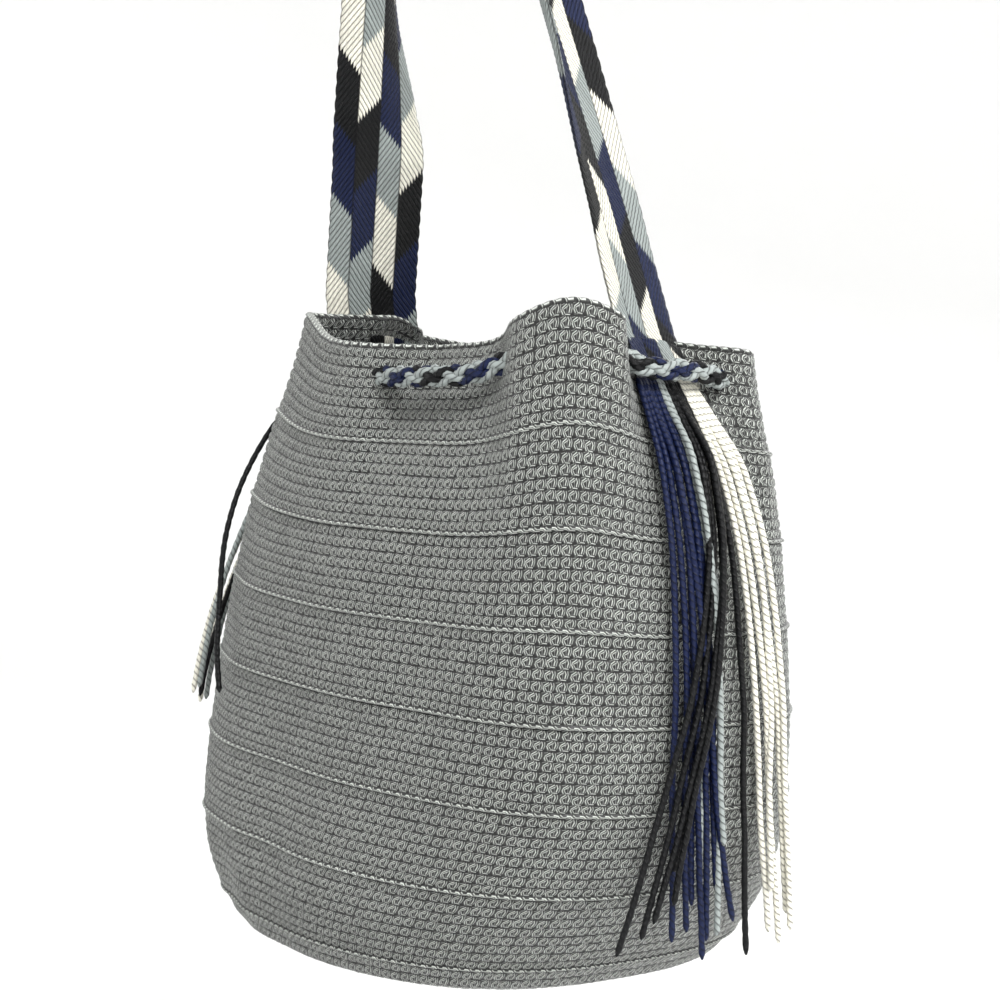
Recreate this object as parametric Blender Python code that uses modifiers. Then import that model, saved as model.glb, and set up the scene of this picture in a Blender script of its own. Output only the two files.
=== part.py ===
"""Crocheted bucket bag with a woven shoulder strap, hanging from its strap.

Metres, +Z up. The origin is on the underside of the strap's top bend, where a hook
holds it. The strap's two legs lie in the XZ plane, its near end at +X.
"""

import math

import bmesh
import bpy
from mathutils import Vector

NAME = "mochila_bag"

# Bag body
RIM_Z = -0.442
BODY_HEIGHT = 0.290
WALL = 0.004
BASE_CENTRE = Vector((0.007, 0.077))    # from the point below the hook
LEAN = Vector((0.022, -0.010))          # how far the rim stands to the side of the base
# Outline of the wall: (depth below the rim, half width along X, half depth along Y).
# The base is round, and the strap's pull flattens the sections above it.
WALL_OUTLINE = (
    (0.000, 0.118, 0.079), (0.022, 0.129, 0.087), (0.050, 0.142, 0.095),
    (0.085, 0.152, 0.102), (0.125, 0.159, 0.107), (0.165, 0.164, 0.110),
    (0.200, 0.164, 0.114), (0.230, 0.157, 0.120), (0.255, 0.143, 0.124),
    (0.274, 0.130, 0.120), (0.286, 0.117, 0.112),
)
SQUARENESS = 2.4                # 2 is a true ellipse, and more is fuller at the corners
BASE_RADIUS = 0.104
BELLY_DEPTH = 0.175             # where a hanging yarn leaves the wall
WALL_STEPS = 96

# Gathers at the mouth: the drawstring lies outside the wall and inside it by turns,
# and passes through an eyelet each time. The wall is drawn in behind each outside
# stretch and stands out as a fold round each inside one.
EYELETS = (-21.0, 21.0, 48.0, 84.0, 110.0, 136.0, 159.0, 201.0, 272.0, 308.0)
FOLD_DEPTH = 0.021
FOLD_REACH = 0.120
FOLD_SHARPNESS = 3.0

# Drawstring
CORD_RADIUS = 0.0045
CORD_DROP = 0.013
CORD_CLEARANCE = 0.0006
TAIL_EYELETS = (110.0, 136.0)   # where the two free ends come out, in degrees
TAIL_TURN = 3.0                 # how far past its eyelet a free end starts, in degrees
TASSEL_GAP = 0.0012             # below the slanted end of the cord
# A knot and its brush: (radius, height over the cord's end)
TASSEL_OUTLINE = (
    (0.0, -TASSEL_GAP), (0.0050, -0.0018), (0.0082, -0.0050), (0.0085, -0.0090),
    (0.0060, -0.0130), (0.0052, -0.0150), (0.0070, -0.0240), (0.0080, -0.0400),
    (0.0, -0.0400),
)
TASSEL_STEPS = 14
TAIL_GAP = 0.5                  # between the cord and a free end's solid, in degrees
# How a free end lies: (drop below the eyelet, degrees past it, distance off the wall)
TAIL_LIE = (
    (0.0155, 4.5, 0.0098), (0.0270, 4.4, 0.0086), (0.0450, 4.2, 0.0085),
    (0.0680, 3.9, 0.0100), (0.0920, 3.4, 0.0127), (0.1150, 3.0, 0.0150),
)
TAIL_BEND = 0.0085              # radius of a free end's turn from the eyelet to straight down
TAIL_BEND_STEPS = 3
TAIL_POINTS = 28
RING_POINTS = 78

# Strap
STRAP_WIDTH = 0.046
STRAP_THICKNESS = 0.003
STRAP_OVERLAP = 0.018
STRAP_HALF_ANGLE = 15.3         # half the width of its sewn ends round the wall, in degrees
STRAP_BEND = 0.010              # radius of the bend over the hook
STRAP_CUP = 1.0                 # how far its section curls at the bend, in radians
STRAP_SETTLE = 0.030            # height over which it leaves the wall's shape
STRAP_STATIONS = 84
STRAP_COLUMNS = 4

# Yarn ends that hang from both ends of the strap
FRINGE_COLOURS = ("navy", "grey", "black", "ivory")
FRINGE_RADIUS = 0.0042
FRINGE_LIE = 0.0063             # from the wall to a bundle's centre line
FRINGE_POINTS = 14
FRINGE_DROP = 0.0050            # from the strap's end to the bundles, past the drawstring
NEAR_FRINGE_LENGTH = 0.245
FAR_FRINGE_LENGTH = 0.195
FRINGE_SPREAD = {"navy": -30.0, "grey": -13.0, "black": 4.0, "ivory": 20.0}

GAP = 0.0003
SEWN_GAP = 0.0023               # between the wall and what lies on it

COLOURS = {
    "bag_grey": (0.205, 0.216, 0.197),
    "navy": (0.012, 0.020, 0.080),
    "black": (0.006, 0.006, 0.008),
    "grey": (0.250, 0.270, 0.265),
    "ivory": (0.620, 0.600, 0.520),
    "braid": (0.080, 0.090, 0.120),
    "strap": (0.180, 0.190, 0.220),
}


def clear_scene():
    """Remove every object that the file starts with."""
    for item in list(bpy.data.objects):
        bpy.data.objects.remove(item, do_unlink=True)


def new_collection(name):
    """Make a collection in the scene."""
    made = bpy.data.collections.new(name)
    bpy.context.scene.collection.children.link(made)
    return made


def yarn_material(name, colour):
    """Make a soft, slightly glossy cotton."""
    made = bpy.data.materials.new(name)
    made.use_nodes = True
    shader = made.node_tree.nodes["Principled BSDF"]
    shader.inputs["Base Color"].default_value = (*colour, 1.0)
    shader.inputs["Roughness"].default_value = 0.62
    shader.inputs["Metallic"].default_value = 0.0
    return made


def add_object(name, data, collection, colour):
    """Put data in the scene as an object with its own material."""
    made = bpy.data.objects.new(name, data)
    collection.objects.link(made)
    data.materials.clear()
    data.materials.append(yarn_material(name, COLOURS[colour]))
    return made


def evaluated_mesh(item):
    """Return a new mesh of the object with its modifiers applied."""
    view = bpy.context.evaluated_depsgraph_get()
    return bpy.data.meshes.new_from_object(item.evaluated_get(view))


def smooth_step(value):
    """Ease from 0 to 1."""
    held = min(max(value, 0.0), 1.0)
    return held * held * (3.0 - 2.0 * held)


def section(depth):
    """Return the wall's half width and half depth at a depth below the rim."""
    held = min(max(depth, WALL_OUTLINE[0][0]), WALL_OUTLINE[-1][0])
    for (upper, wide, deep), (lower, next_wide, next_deep) in zip(
        WALL_OUTLINE, WALL_OUTLINE[1:]
    ):
        if held <= lower:
            share = (held - upper) / (lower - upper)
            return wide + (next_wide - wide) * share, deep + (next_deep - deep) * share
    return WALL_OUTLINE[-1][1:]


def fold_offset(degrees, depth):
    """Return how far the gathers move the wall out at an angle in degrees."""
    fade = max(0.0, 1.0 - max(depth, 0.0) / FOLD_REACH) ** 2
    turned = (degrees - EYELETS[0]) % 360.0 + EYELETS[0]
    stops = (*EYELETS, EYELETS[0] + 360.0)
    for number, (start, end) in enumerate(zip(stops, stops[1:])):
        if turned <= end:
            swing = math.sin(math.pi * (turned - start) / (end - start))
            side = -1.0 if number % 2 == 0 else 1.0
            height = math.tanh(FOLD_SHARPNESS * swing) / math.tanh(FOLD_SHARPNESS)
            return FOLD_DEPTH * fade * side * height
    return 0.0


def axis_at(depth):
    """Return the section's centre at a depth below the rim."""
    return BASE_CENTRE + LEAN * (1.0 - depth / BODY_HEIGHT)


def corner_fullness(angle):
    """Return how far a section stands outside an ellipse at an angle in radians."""
    reach = abs(math.cos(angle)) ** SQUARENESS + abs(math.sin(angle)) ** SQUARENESS
    return reach ** (-1.0 / SQUARENESS)


def wall_point(degrees, depth, outward=0.0, folded=True):
    """Return a point on the wall's outer face, or a distance outward of it."""
    angle = math.radians(degrees)
    wide, deep = section(depth)
    if folded:
        outward += fold_offset(degrees, depth)
    centre = axis_at(depth)
    full = corner_fullness(angle)
    return Vector((
        centre.x + (wide * full + outward) * math.cos(angle),
        centre.y + (deep * full + outward) * math.sin(angle),
        RIM_Z - depth,
    ))


def smooth_route(points, count):
    """Return count points along a smooth curve through the given points."""
    padded = [2 * points[0] - points[1], *points, 2 * points[-1] - points[-2]]
    spans = len(points) - 1
    route = []
    for step in range(count):
        place = spans * step / (count - 1)
        span = min(int(place), spans - 1)
        t = place - span
        a, b, c, d = padded[span:span + 4]
        route.append(0.5 * (
            2 * b + (c - a) * t + (2 * a - 5 * b + 4 * c - d) * t ** 2
            + (3 * b - a - 3 * c + d) * t ** 3
        ))
    return route


def tube_data(name, points, radius, taper=None, cyclic=False):
    """Make a round tube along the points, with filled ends."""
    data = bpy.data.curves.new(name, "CURVE")
    data.dimensions = "3D"
    data.bevel_depth = radius
    data.bevel_resolution = 2
    data.use_fill_caps = not cyclic
    spline = data.splines.new("POLY")
    spline.points.add(len(points) - 1)
    spline.use_cyclic_u = cyclic
    for number, (point, place) in enumerate(zip(spline.points, points)):
        point.co = (*place, 1.0)
        if taper:
            point.radius = taper(number / (len(points) - 1))
    return data


def cord_point(degrees):
    """Return a point on the drawstring's centre line round the mouth."""
    return wall_point(degrees, CORD_DROP, folded=False)


def eyelet_cutter(guides):
    """Make the ring that opens the wall wherever the drawstring crosses it."""
    ring = [cord_point(360.0 * step / 120) for step in range(120)]
    data = tube_data("eyelet_ring", ring, CORD_RADIUS + CORD_CLEARANCE, cyclic=True)
    curve = bpy.data.objects.new("eyelet_ring", data)
    guides.objects.link(curve)
    mesh = evaluated_mesh(curve)
    bpy.data.objects.remove(curve, do_unlink=True)
    cutter = bpy.data.objects.new("eyelet_cutter", mesh)
    guides.objects.link(cutter)
    cutter.hide_render = True
    cutter.display_type = "WIRE"
    return cutter


def turned_wall(guides):
    """Return the bag's outer face as a turned open surface, rim first."""
    outline = [(wide, -depth) for depth, wide, _deep in WALL_OUTLINE]
    outline += [(BASE_RADIUS, -BODY_HEIGHT), (0.0, -BODY_HEIGHT)]
    mesh = bpy.data.meshes.new("wall_outline")
    shape = bmesh.new()
    corners = [shape.verts.new((x, 0.0, z)) for x, z in outline]
    for upper, lower in zip(corners, corners[1:]):
        shape.edges.new((upper, lower))
    shape.to_mesh(mesh)
    shape.free()
    guide = bpy.data.objects.new("wall_outline", mesh)
    guides.objects.link(guide)
    screw = guide.modifiers.new("turn", "SCREW")
    screw.steps = WALL_STEPS
    screw.render_steps = WALL_STEPS
    screw.use_merge_vertices = True
    screw.merge_threshold = 1e-5
    turned = evaluated_mesh(guide)
    bpy.data.objects.remove(guide, do_unlink=True)
    return turned


def build_body(parts, guides):
    """Make the crocheted body: base, wall, gathered mouth and eyelets."""
    mesh = turned_wall(guides)
    for vertex in mesh.vertices:
        x, y, z = vertex.co
        depth = -z
        if depth < WALL_OUTLINE[-1][0] + GAP:
            vertex.co = wall_point(math.degrees(math.atan2(y, x)), depth)
        else:
            centre = axis_at(depth)
            vertex.co = (centre.x + x, centre.y + y, RIM_Z - depth)
    body = add_object("bag_body", mesh, parts, "bag_grey")
    shell = body.modifiers.new("fabric", "SOLIDIFY")
    shell.thickness = WALL
    shell.offset = -1.0
    shell.use_even_offset = True
    cut = body.modifiers.new("eyelets", "BOOLEAN")
    cut.object = eyelet_cutter(guides)
    cut.operation = "DIFFERENCE"
    cut.solver = "EXACT"
    mesh.shade_smooth()
    return body


def strap_centre(length, near):
    """Return a leg's centre point and outward direction at a distance down from the top.

    A leg is a quarter turn over the hook, then a straight run to the rim.
    """
    sign = 1.0 if near else -1.0
    bend = STRAP_BEND + STRAP_THICKNESS / 2
    foot = wall_point(0.0 if near else 180.0, 0.0, SEWN_GAP + STRAP_THICKNESS / 2)
    top = Vector((0.0, 0.0, -STRAP_BEND))
    reach = Vector((abs(foot.x), 0.0, foot.z)) - top
    span = math.sqrt(reach.length ** 2 - bend ** 2)
    swing = math.atan2(reach.x, -reach.z) - math.atan2(bend, span)
    turn = math.pi / 2 - swing
    if length < turn * bend:
        angle = math.pi / 2 - length / bend
        out = Vector((sign * math.cos(angle), 0.0, math.sin(angle)))
        return top + bend * out, out
    out = Vector((sign * math.cos(swing), 0.0, math.sin(swing)))
    down = Vector((sign * math.sin(swing), 0.0, -math.cos(swing)))
    run = length - turn * bend
    point = top + bend * out + down * run
    point.y = foot.y * min(1.0, run / span)
    return point, out


def strap_leg_length(near):
    """Return the length of a leg's centre line from the top to the rim."""
    low, high = 0.0, 1.0
    for _ in range(40):
        middle = (low + high) / 2
        point, _out = strap_centre(middle, near)
        if point.z > RIM_Z:
            low = middle
        else:
            high = middle
    return low


def strap_point(along, across):
    """Return a point on the strap's middle surface.

    along runs from -1 at the far end to 1 at the near end, across from -1 to 1.
    """
    near = along >= 0.0
    free = strap_leg_length(near)
    length = abs(along) * (free + STRAP_OVERLAP)
    degrees = (0.0 if near else 180.0) + across * STRAP_HALF_ANGLE * (1 if near else -1)
    sewn = wall_point(degrees, max(length - free, 0.0), SEWN_GAP + STRAP_THICKNESS / 2)
    if length >= free:
        return sewn
    centre, out = strap_centre(length, near)
    curl = STRAP_CUP * (1.0 - smooth_step(length / free)) + 0.05
    half = STRAP_WIDTH / 2
    side = Vector((0.0, 1.0, 0.0))
    free_point = centre + side * (math.sin(curl * across) / curl * half)
    free_point += out * ((1.0 - math.cos(curl * across)) / curl * half)
    share = smooth_step((free - length) / STRAP_SETTLE)
    sewn.z = centre.z
    return sewn.lerp(free_point, share)


def build_strap(parts):
    """Make the woven strap from rim to rim, over the hook."""
    shape = bmesh.new()
    bmesh.ops.create_grid(
        shape, x_segments=STRAP_STATIONS, y_segments=STRAP_COLUMNS, size=1.0
    )
    for vertex in shape.verts:
        vertex.co = strap_point(vertex.co.x, vertex.co.y)
    mesh = bpy.data.meshes.new("strap")
    shape.to_mesh(mesh)
    shape.free()
    strap = add_object("strap", mesh, parts, "strap")
    weave = strap.modifiers.new("weave", "SOLIDIFY")
    weave.thickness = STRAP_THICKNESS
    weave.offset = 0.0
    weave.use_even_offset = True
    return strap


def fringe_route(near, across, spread, length):
    """Return the centre line of a bundle that lies on the wall, then hangs free."""
    middle = 0.0 if near else 180.0
    sign = 1.0 if near else -1.0
    start = middle + sign * across * STRAP_HALF_ANGLE
    end = middle + sign * spread
    points = []
    for step in range(FRINGE_POINTS):
        share = step / (FRINGE_POINTS - 1)
        depth = STRAP_OVERLAP + FRINGE_DROP + length * share
        degrees = start + (end - start) * smooth_step(share * 1.2)
        place = wall_point(degrees, min(depth, BELLY_DEPTH), FRINGE_LIE)
        place.z = RIM_Z - depth
        points.append(place)
    return points


def build_fringes(parts):
    """Make the hanging yarn ends, one bundle for each colour at each end."""
    for near in (True, False):
        end = "near" if near else "far"
        length = NEAR_FRINGE_LENGTH if near else FAR_FRINGE_LENGTH
        for number, colour in enumerate(FRINGE_COLOURS):
            across = -0.75 + 0.5 * number
            route = fringe_route(near, across, FRINGE_SPREAD[colour], length)
            data = tube_data(
                f"{end}_fringe_{colour}", route, FRINGE_RADIUS,
                taper=lambda share: 1.0 + 0.25 * math.sin(math.pi * share) - 0.3 * share,
            )
            add_object(data.name, data, parts, colour)


def build_drawstring(parts):
    """Make the braided cord round the mouth and its two hanging ends."""
    first, last = TAIL_EYELETS
    start = last - TAIL_TURN
    sweep = 360.0 - (last - first) + 2 * TAIL_TURN
    ring = [
        cord_point(start + sweep * step / (RING_POINTS - 1)) for step in range(RING_POINTS)
    ]
    add_object(
        "drawstring", tube_data("drawstring", ring, CORD_RADIUS), parts, "braid"
    )
    for side, begin, turn in (("left", first, 1.0), ("right", last, -1.0)):
        build_tail(parts, side, begin + turn * TAIL_TURN, turn)


def build_tail(parts, side, begin, turn):
    """Make one hanging end of the drawstring and the tassel on it."""
    exit_point = cord_point(begin + turn * TAIL_GAP)
    onward = (cord_point(begin + turn * (TAIL_GAP + 1.0)) - exit_point).normalized()
    route = []
    for step in range(TAIL_BEND_STEPS + 1):
        angle = math.pi / 2 * step / TAIL_BEND_STEPS
        down = Vector((0.0, 0.0, math.cos(angle) - 1.0))
        route.append(exit_point + TAIL_BEND * (onward * math.sin(angle) + down))
    for drop, swing, lie in TAIL_LIE:
        route.append(wall_point(begin + turn * swing, CORD_DROP + drop, lie))
    points = smooth_route(route, TAIL_POINTS)
    name = f"drawstring_tail_{side}"
    add_object(name, tube_data(name, points, CORD_RADIUS), parts, "braid")
    build_tassel(parts, side, points[-1])


def build_tassel(parts, side, top):
    """Make the knot and short brush on a drawstring end as one turned solid."""
    mesh = bpy.data.meshes.new(f"tassel_outline_{side}")
    shape = bmesh.new()
    corners = [shape.verts.new((x, 0.0, z)) for x, z in TASSEL_OUTLINE]
    for upper, lower in zip(corners, corners[1:]):
        shape.edges.new((upper, lower))
    shape.to_mesh(mesh)
    shape.free()
    tassel = add_object(f"tail_tassel_{side}", mesh, parts, "braid")
    tassel.location = top
    screw = tassel.modifiers.new("turn", "SCREW")
    screw.steps = TASSEL_STEPS
    screw.render_steps = TASSEL_STEPS
    screw.use_merge_vertices = True
    screw.merge_threshold = 1e-5


def main():
    """Build the whole bag."""
    clear_scene()
    parts = new_collection(NAME)
    guides = new_collection(f"{NAME}_guides")
    build_body(parts, guides)
    build_strap(parts)
    build_fringes(parts)
    build_drawstring(parts)


main()
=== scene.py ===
"""A crocheted bucket bag hanging from its woven strap, dressed for a studio picture.

Metres, +Z up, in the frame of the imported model. Every sub-assembly is a class that
holds its sizes, builds its meshes and dresses them.
"""

import logging
import math
from dataclasses import dataclass, field
from enum import Enum

import bpy
import numpy as np
from mathutils import Matrix, Vector


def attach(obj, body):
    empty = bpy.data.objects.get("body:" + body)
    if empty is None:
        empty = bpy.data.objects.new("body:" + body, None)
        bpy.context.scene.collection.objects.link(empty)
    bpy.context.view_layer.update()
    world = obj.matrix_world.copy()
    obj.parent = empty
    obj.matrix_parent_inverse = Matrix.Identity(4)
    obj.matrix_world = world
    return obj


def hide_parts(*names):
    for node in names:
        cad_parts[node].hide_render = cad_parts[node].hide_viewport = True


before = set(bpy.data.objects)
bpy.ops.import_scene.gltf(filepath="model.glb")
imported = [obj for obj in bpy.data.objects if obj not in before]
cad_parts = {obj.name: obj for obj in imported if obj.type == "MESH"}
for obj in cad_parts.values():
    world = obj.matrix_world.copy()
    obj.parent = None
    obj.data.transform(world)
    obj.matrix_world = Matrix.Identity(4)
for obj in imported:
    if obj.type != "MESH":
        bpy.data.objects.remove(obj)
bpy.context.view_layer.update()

LOG = logging.getLogger("mochila")
BODY = "root"
MM = 0.001


# --------------------------------------------------------------------------- helpers


def smooth_step(value: np.ndarray) -> np.ndarray:
    """Ease from 0 to 1."""
    held = np.clip(value, 0.0, 1.0)
    return held * held * (3.0 - 2.0 * held)


def bump_at(angle: np.ndarray, centre: float, width: float) -> np.ndarray:
    """Return a rounded hump round a circle.

    Args:
        angle: angles in degrees.
        centre: the hump's middle, in degrees.
        width: how far from the middle it has faded to about a third, in degrees.

    Returns:
        Values from 0 to 1.
    """
    away = (angle - centre + 180.0) % 360.0 - 180.0
    return np.exp(-((away / width) ** 2))


def hashed(first: np.ndarray, second: np.ndarray, seed: float) -> np.ndarray:
    """Return repeatable noise from 0 to 1 for whole-numbered cells."""
    mixed = np.sin(first * 127.1 + second * 311.7 + seed * 74.7) * 43758.5453
    return mixed - np.floor(mixed)


def smooth_route(points: np.ndarray, count: int) -> np.ndarray:
    """Draw a smooth curve through points.

    Args:
        points: the points that it passes through.
        count: how many points to return.

    Returns:
        Points along the curve.
    """
    points = np.asarray(points, float)
    padded = np.vstack([2 * points[0] - points[1], points, 2 * points[-1] - points[-2]])
    place = np.linspace(0.0, len(points) - 1, count)
    span = np.minimum(place.astype(int), len(points) - 2)
    t = (place - span)[:, None]
    a, b, c, d = (padded[span + step] for step in range(4))
    return 0.5 * (
        2 * b + (c - a) * t + (2 * a - 5 * b + 4 * c - d) * t ** 2
        + (3 * b - a - 3 * c + d) * t ** 3
    )


def run_along(points: np.ndarray) -> np.ndarray:
    """Return the distance from a line's start to each of its points."""
    steps = np.linalg.norm(np.diff(points, axis=0), axis=1)
    return np.concatenate([[0.0], np.cumsum(steps)])


def even_route(points: np.ndarray, spacing: float) -> np.ndarray:
    """Space points evenly along a line of points.

    Args:
        points: the line.
        spacing: the distance wanted between neighbours.

    Returns:
        The evenly spaced points, at least four.
    """
    run = run_along(points)
    count = max(4, int(round(run[-1] / spacing)) + 1)
    wanted = np.linspace(0.0, run[-1], count)
    return np.stack([np.interp(wanted, run, points[:, axis]) for axis in range(3)], 1)


def frames_along(points: np.ndarray) -> tuple[np.ndarray, np.ndarray]:
    """Find two cross directions at each point of a line, without twist.

    Args:
        points: the line.

    Returns:
        Two arrays of unit vectors, square to the line and to each other.
    """
    tangents = np.gradient(points, axis=0)
    tangents /= np.linalg.norm(tangents, axis=1)[:, None]
    start = np.array([0.0, 0.0, 1.0])
    if abs(tangents[0] @ start) > 0.9:
        start = np.array([0.0, 1.0, 0.0])
    side = np.cross(tangents[0], start)
    side /= np.linalg.norm(side)
    sides = []
    for tangent in tangents:
        side = side - tangent * (side @ tangent)
        side = side / np.linalg.norm(side)
        sides.append(side)
    sides = np.array(sides)
    return sides, np.cross(tangents, sides)


@dataclass
class MeshParts:
    """Quads gathered for one mesh, with a texture place for each corner."""

    points: list = field(default_factory=list)
    quads: list = field(default_factory=list)
    places: list = field(default_factory=list)
    finishes: list = field(default_factory=list)
    count: int = 0

    def add_grid(
        self, grid: np.ndarray, places: np.ndarray, wrap: bool, finish: np.ndarray | int = 0
    ) -> None:
        """Add a grid of quads.

        Args:
            grid: points, rows by columns by 3.
            places: for each quad row, the texture place of its upper and lower
                corners: rows-1 by 2 by columns (plus one where it wraps) by 2.
            wrap: whether the last column joins the first.
            finish: material number for all quads, or for each row of quads.
        """
        rows, columns = grid.shape[:2]
        spans = columns if wrap else columns - 1
        row = np.arange(rows - 1)[:, None]
        column = np.arange(spans)[None, :]
        onward = (column + 1) % columns
        quads = np.stack(
            [
                row * columns + column, (row + 1) * columns + column,
                (row + 1) * columns + onward, row * columns + onward,
            ],
            axis=-1,
        )
        corners = np.stack(
            [
                places[:, 0, :-1], places[:, 1, :-1], places[:, 1, 1:], places[:, 0, 1:],
            ],
            axis=2,
        )
        self.points.append(grid.reshape(-1, 3))
        self.quads.append(quads.reshape(-1, 4) + self.count)
        self.places.append(corners.reshape(-1, 2))
        each = np.broadcast_to(np.asarray(finish).reshape(-1, 1), (rows - 1, spans))
        self.finishes.append(each.reshape(-1))
        self.count += rows * columns

    def to_object(self, name: str) -> bpy.types.Object:
        """Make the mesh and its object, shaded smooth.

        Args:
            name: the object's and the mesh's name.

        Returns:
            The new object, linked to the scene.
        """
        points = np.concatenate(self.points)
        quads = np.concatenate(self.quads)
        mesh = bpy.data.meshes.new(name)
        mesh.vertices.add(len(points))
        mesh.vertices.foreach_set("co", points.astype(np.float32).ravel())
        mesh.loops.add(quads.size)
        mesh.loops.foreach_set("vertex_index", quads.astype(np.int32).ravel())
        mesh.polygons.add(len(quads))
        mesh.polygons.foreach_set("loop_start", np.arange(0, quads.size, 4, dtype=np.int32))
        mesh.polygons.foreach_set(
            "material_index", np.concatenate(self.finishes).astype(np.int32)
        )
        mesh.polygons.foreach_set("use_smooth", np.ones(len(quads), dtype=bool))
        layer = mesh.uv_layers.new(name="place")
        layer.uv.foreach_set(
            "vector", np.concatenate(self.places).astype(np.float32).ravel()
        )
        mesh.update(calc_edges=True)
        mesh.validate()
        made = bpy.data.objects.new(name, mesh)
        bpy.context.scene.collection.objects.link(made)
        return made


def grid_places(first: np.ndarray, rows: int, across: np.ndarray) -> np.ndarray:
    """Return texture places for a grid whose rows share their columns' values.

    Args:
        first: the value along v at each row of points.
        rows: how many rows of points there are.
        across: the value along u at each column of points.

    Returns:
        Places in the form that MeshParts.add_grid takes.
    """
    places = np.zeros((rows - 1, 2, len(across), 2))
    places[..., 0] = across
    places[:, 0, :, 1] = first[:-1, None]
    places[:, 1, :, 1] = first[1:, None]
    return places


def row_places(across: np.ndarray, upper: float, lower: float) -> np.ndarray:
    """Return texture places for one row of quads.

    Args:
        across: the value along u at each column of points.
        upper: the value along v at the row's upper corners.
        lower: the value along v at its lower corners.

    Returns:
        Places, 2 by columns by 2.
    """
    places = np.zeros((2, len(across), 2))
    places[..., 0] = across
    places[0, :, 1] = upper
    places[1, :, 1] = lower
    return places


def fit_out(
    piece: bpy.types.Object, nodes: tuple[str, ...], slot: str, *finishes: bpy.types.Material
) -> bpy.types.Object:
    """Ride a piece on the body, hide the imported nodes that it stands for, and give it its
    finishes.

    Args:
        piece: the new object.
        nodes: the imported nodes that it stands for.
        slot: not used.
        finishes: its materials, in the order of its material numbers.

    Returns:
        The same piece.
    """
    for finish in finishes:
        piece.data.materials.append(finish)
    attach(piece, BODY)
    if nodes:
        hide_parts(*nodes)
    LOG.info("%s: %d faces", piece.name, len(piece.data.polygons))
    return piece


# --------------------------------------------------------------------------- finishes


class Yarn(Enum):
    """The yarns of the bag, by colour: linear red, green and blue."""

    BODY = (0.300, 0.315, 0.292)
    GREY = (0.270, 0.300, 0.292)
    IVORY = (0.720, 0.700, 0.610)
    BLACK = (0.0024, 0.0026, 0.0032)
    NAVY = (0.0042, 0.0090, 0.0400)

    @property
    def rgba(self) -> tuple[float, float, float, float]:
        """The colour with full cover."""
        return (*self.value, 1.0)


class Graph:
    """Adds nodes to one shader tree and wires them."""

    def __init__(self, tree: bpy.types.NodeTree) -> None:
        """Work on this tree."""
        self.tree = tree

    def add(self, kind: str, **settings: object) -> bpy.types.Node:
        """Add a node and set its plain properties."""
        node = self.tree.nodes.new(kind)
        for name, value in settings.items():
            setattr(node, name, value)
        return node

    def feed(self, target: bpy.types.NodeSocket, value: object) -> None:
        """Wire a socket into target, or set target to a plain value."""
        if isinstance(value, bpy.types.NodeSocket):
            self.tree.links.new(value, target)
        else:
            target.default_value = value

    def math(self, operation: str, *values: object) -> bpy.types.NodeSocket:
        """Add a Math node."""
        node = self.add("ShaderNodeMath", operation=operation)
        for target, value in zip(node.inputs, values):
            self.feed(target, value)
        return node.outputs[0]

    def vector(self, operation: str, *values: object) -> bpy.types.NodeSocket:
        """Add a Vector Math node and return its vector, or its value for a length."""
        node = self.add("ShaderNodeVectorMath", operation=operation)
        for target, value in zip(node.inputs, values):
            self.feed(target, value)
        scalar = operation in {"LENGTH", "DISTANCE", "DOT_PRODUCT"}
        return node.outputs["Value" if scalar else "Vector"]

    def scaled(self, vector: object, scale: object) -> bpy.types.NodeSocket:
        """Multiply a vector by a number."""
        node = self.add("ShaderNodeVectorMath", operation="SCALE")
        self.feed(node.inputs[0], vector)
        self.feed(node.inputs["Scale"], scale)
        return node.outputs["Vector"]

    def ranged(
        self, value: object, low: float, high: float, start: float = 0.0, end: float = 1.0
    ) -> bpy.types.NodeSocket:
        """Map low..high to start..end, eased and held at both ends."""
        node = self.add("ShaderNodeMapRange", interpolation_type="SMOOTHSTEP")
        for target, given in zip(node.inputs, (value, low, high, start, end)):
            self.feed(target, given)
        return node.outputs[0]

    def ramp(
        self, factor: object, stops: tuple[tuple[float, tuple], ...]
    ) -> bpy.types.NodeSocket:
        """Pick a colour by steps.

        Args:
            factor: the number that picks.
            stops: for each step, where it starts and its colour.

        Returns:
            The colour's socket.
        """
        node = self.add("ShaderNodeValToRGB")
        node.color_ramp.interpolation = "CONSTANT"
        elements = node.color_ramp.elements
        while len(elements) < len(stops):
            elements.new(1.0)
        for element, (place, colour) in zip(elements, stops):
            element.position = place
            element.color = colour
        self.feed(node.inputs[0], factor)
        return node.outputs[0]

    def noise(self, vector: object, scale: float) -> bpy.types.NodeSocket:
        """Add a Noise texture and return its value."""
        node = self.add("ShaderNodeTexNoise")
        self.feed(node.inputs["Vector"], vector)
        node.inputs["Scale"].default_value = scale
        return node.outputs[0]

    def cell_noise(self, vector: object) -> bpy.types.Node:
        """Add a White Noise texture on a vector."""
        node = self.add("ShaderNodeTexWhiteNoise", noise_dimensions="3D")
        self.feed(node.inputs["Vector"], vector)
        return node


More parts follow.
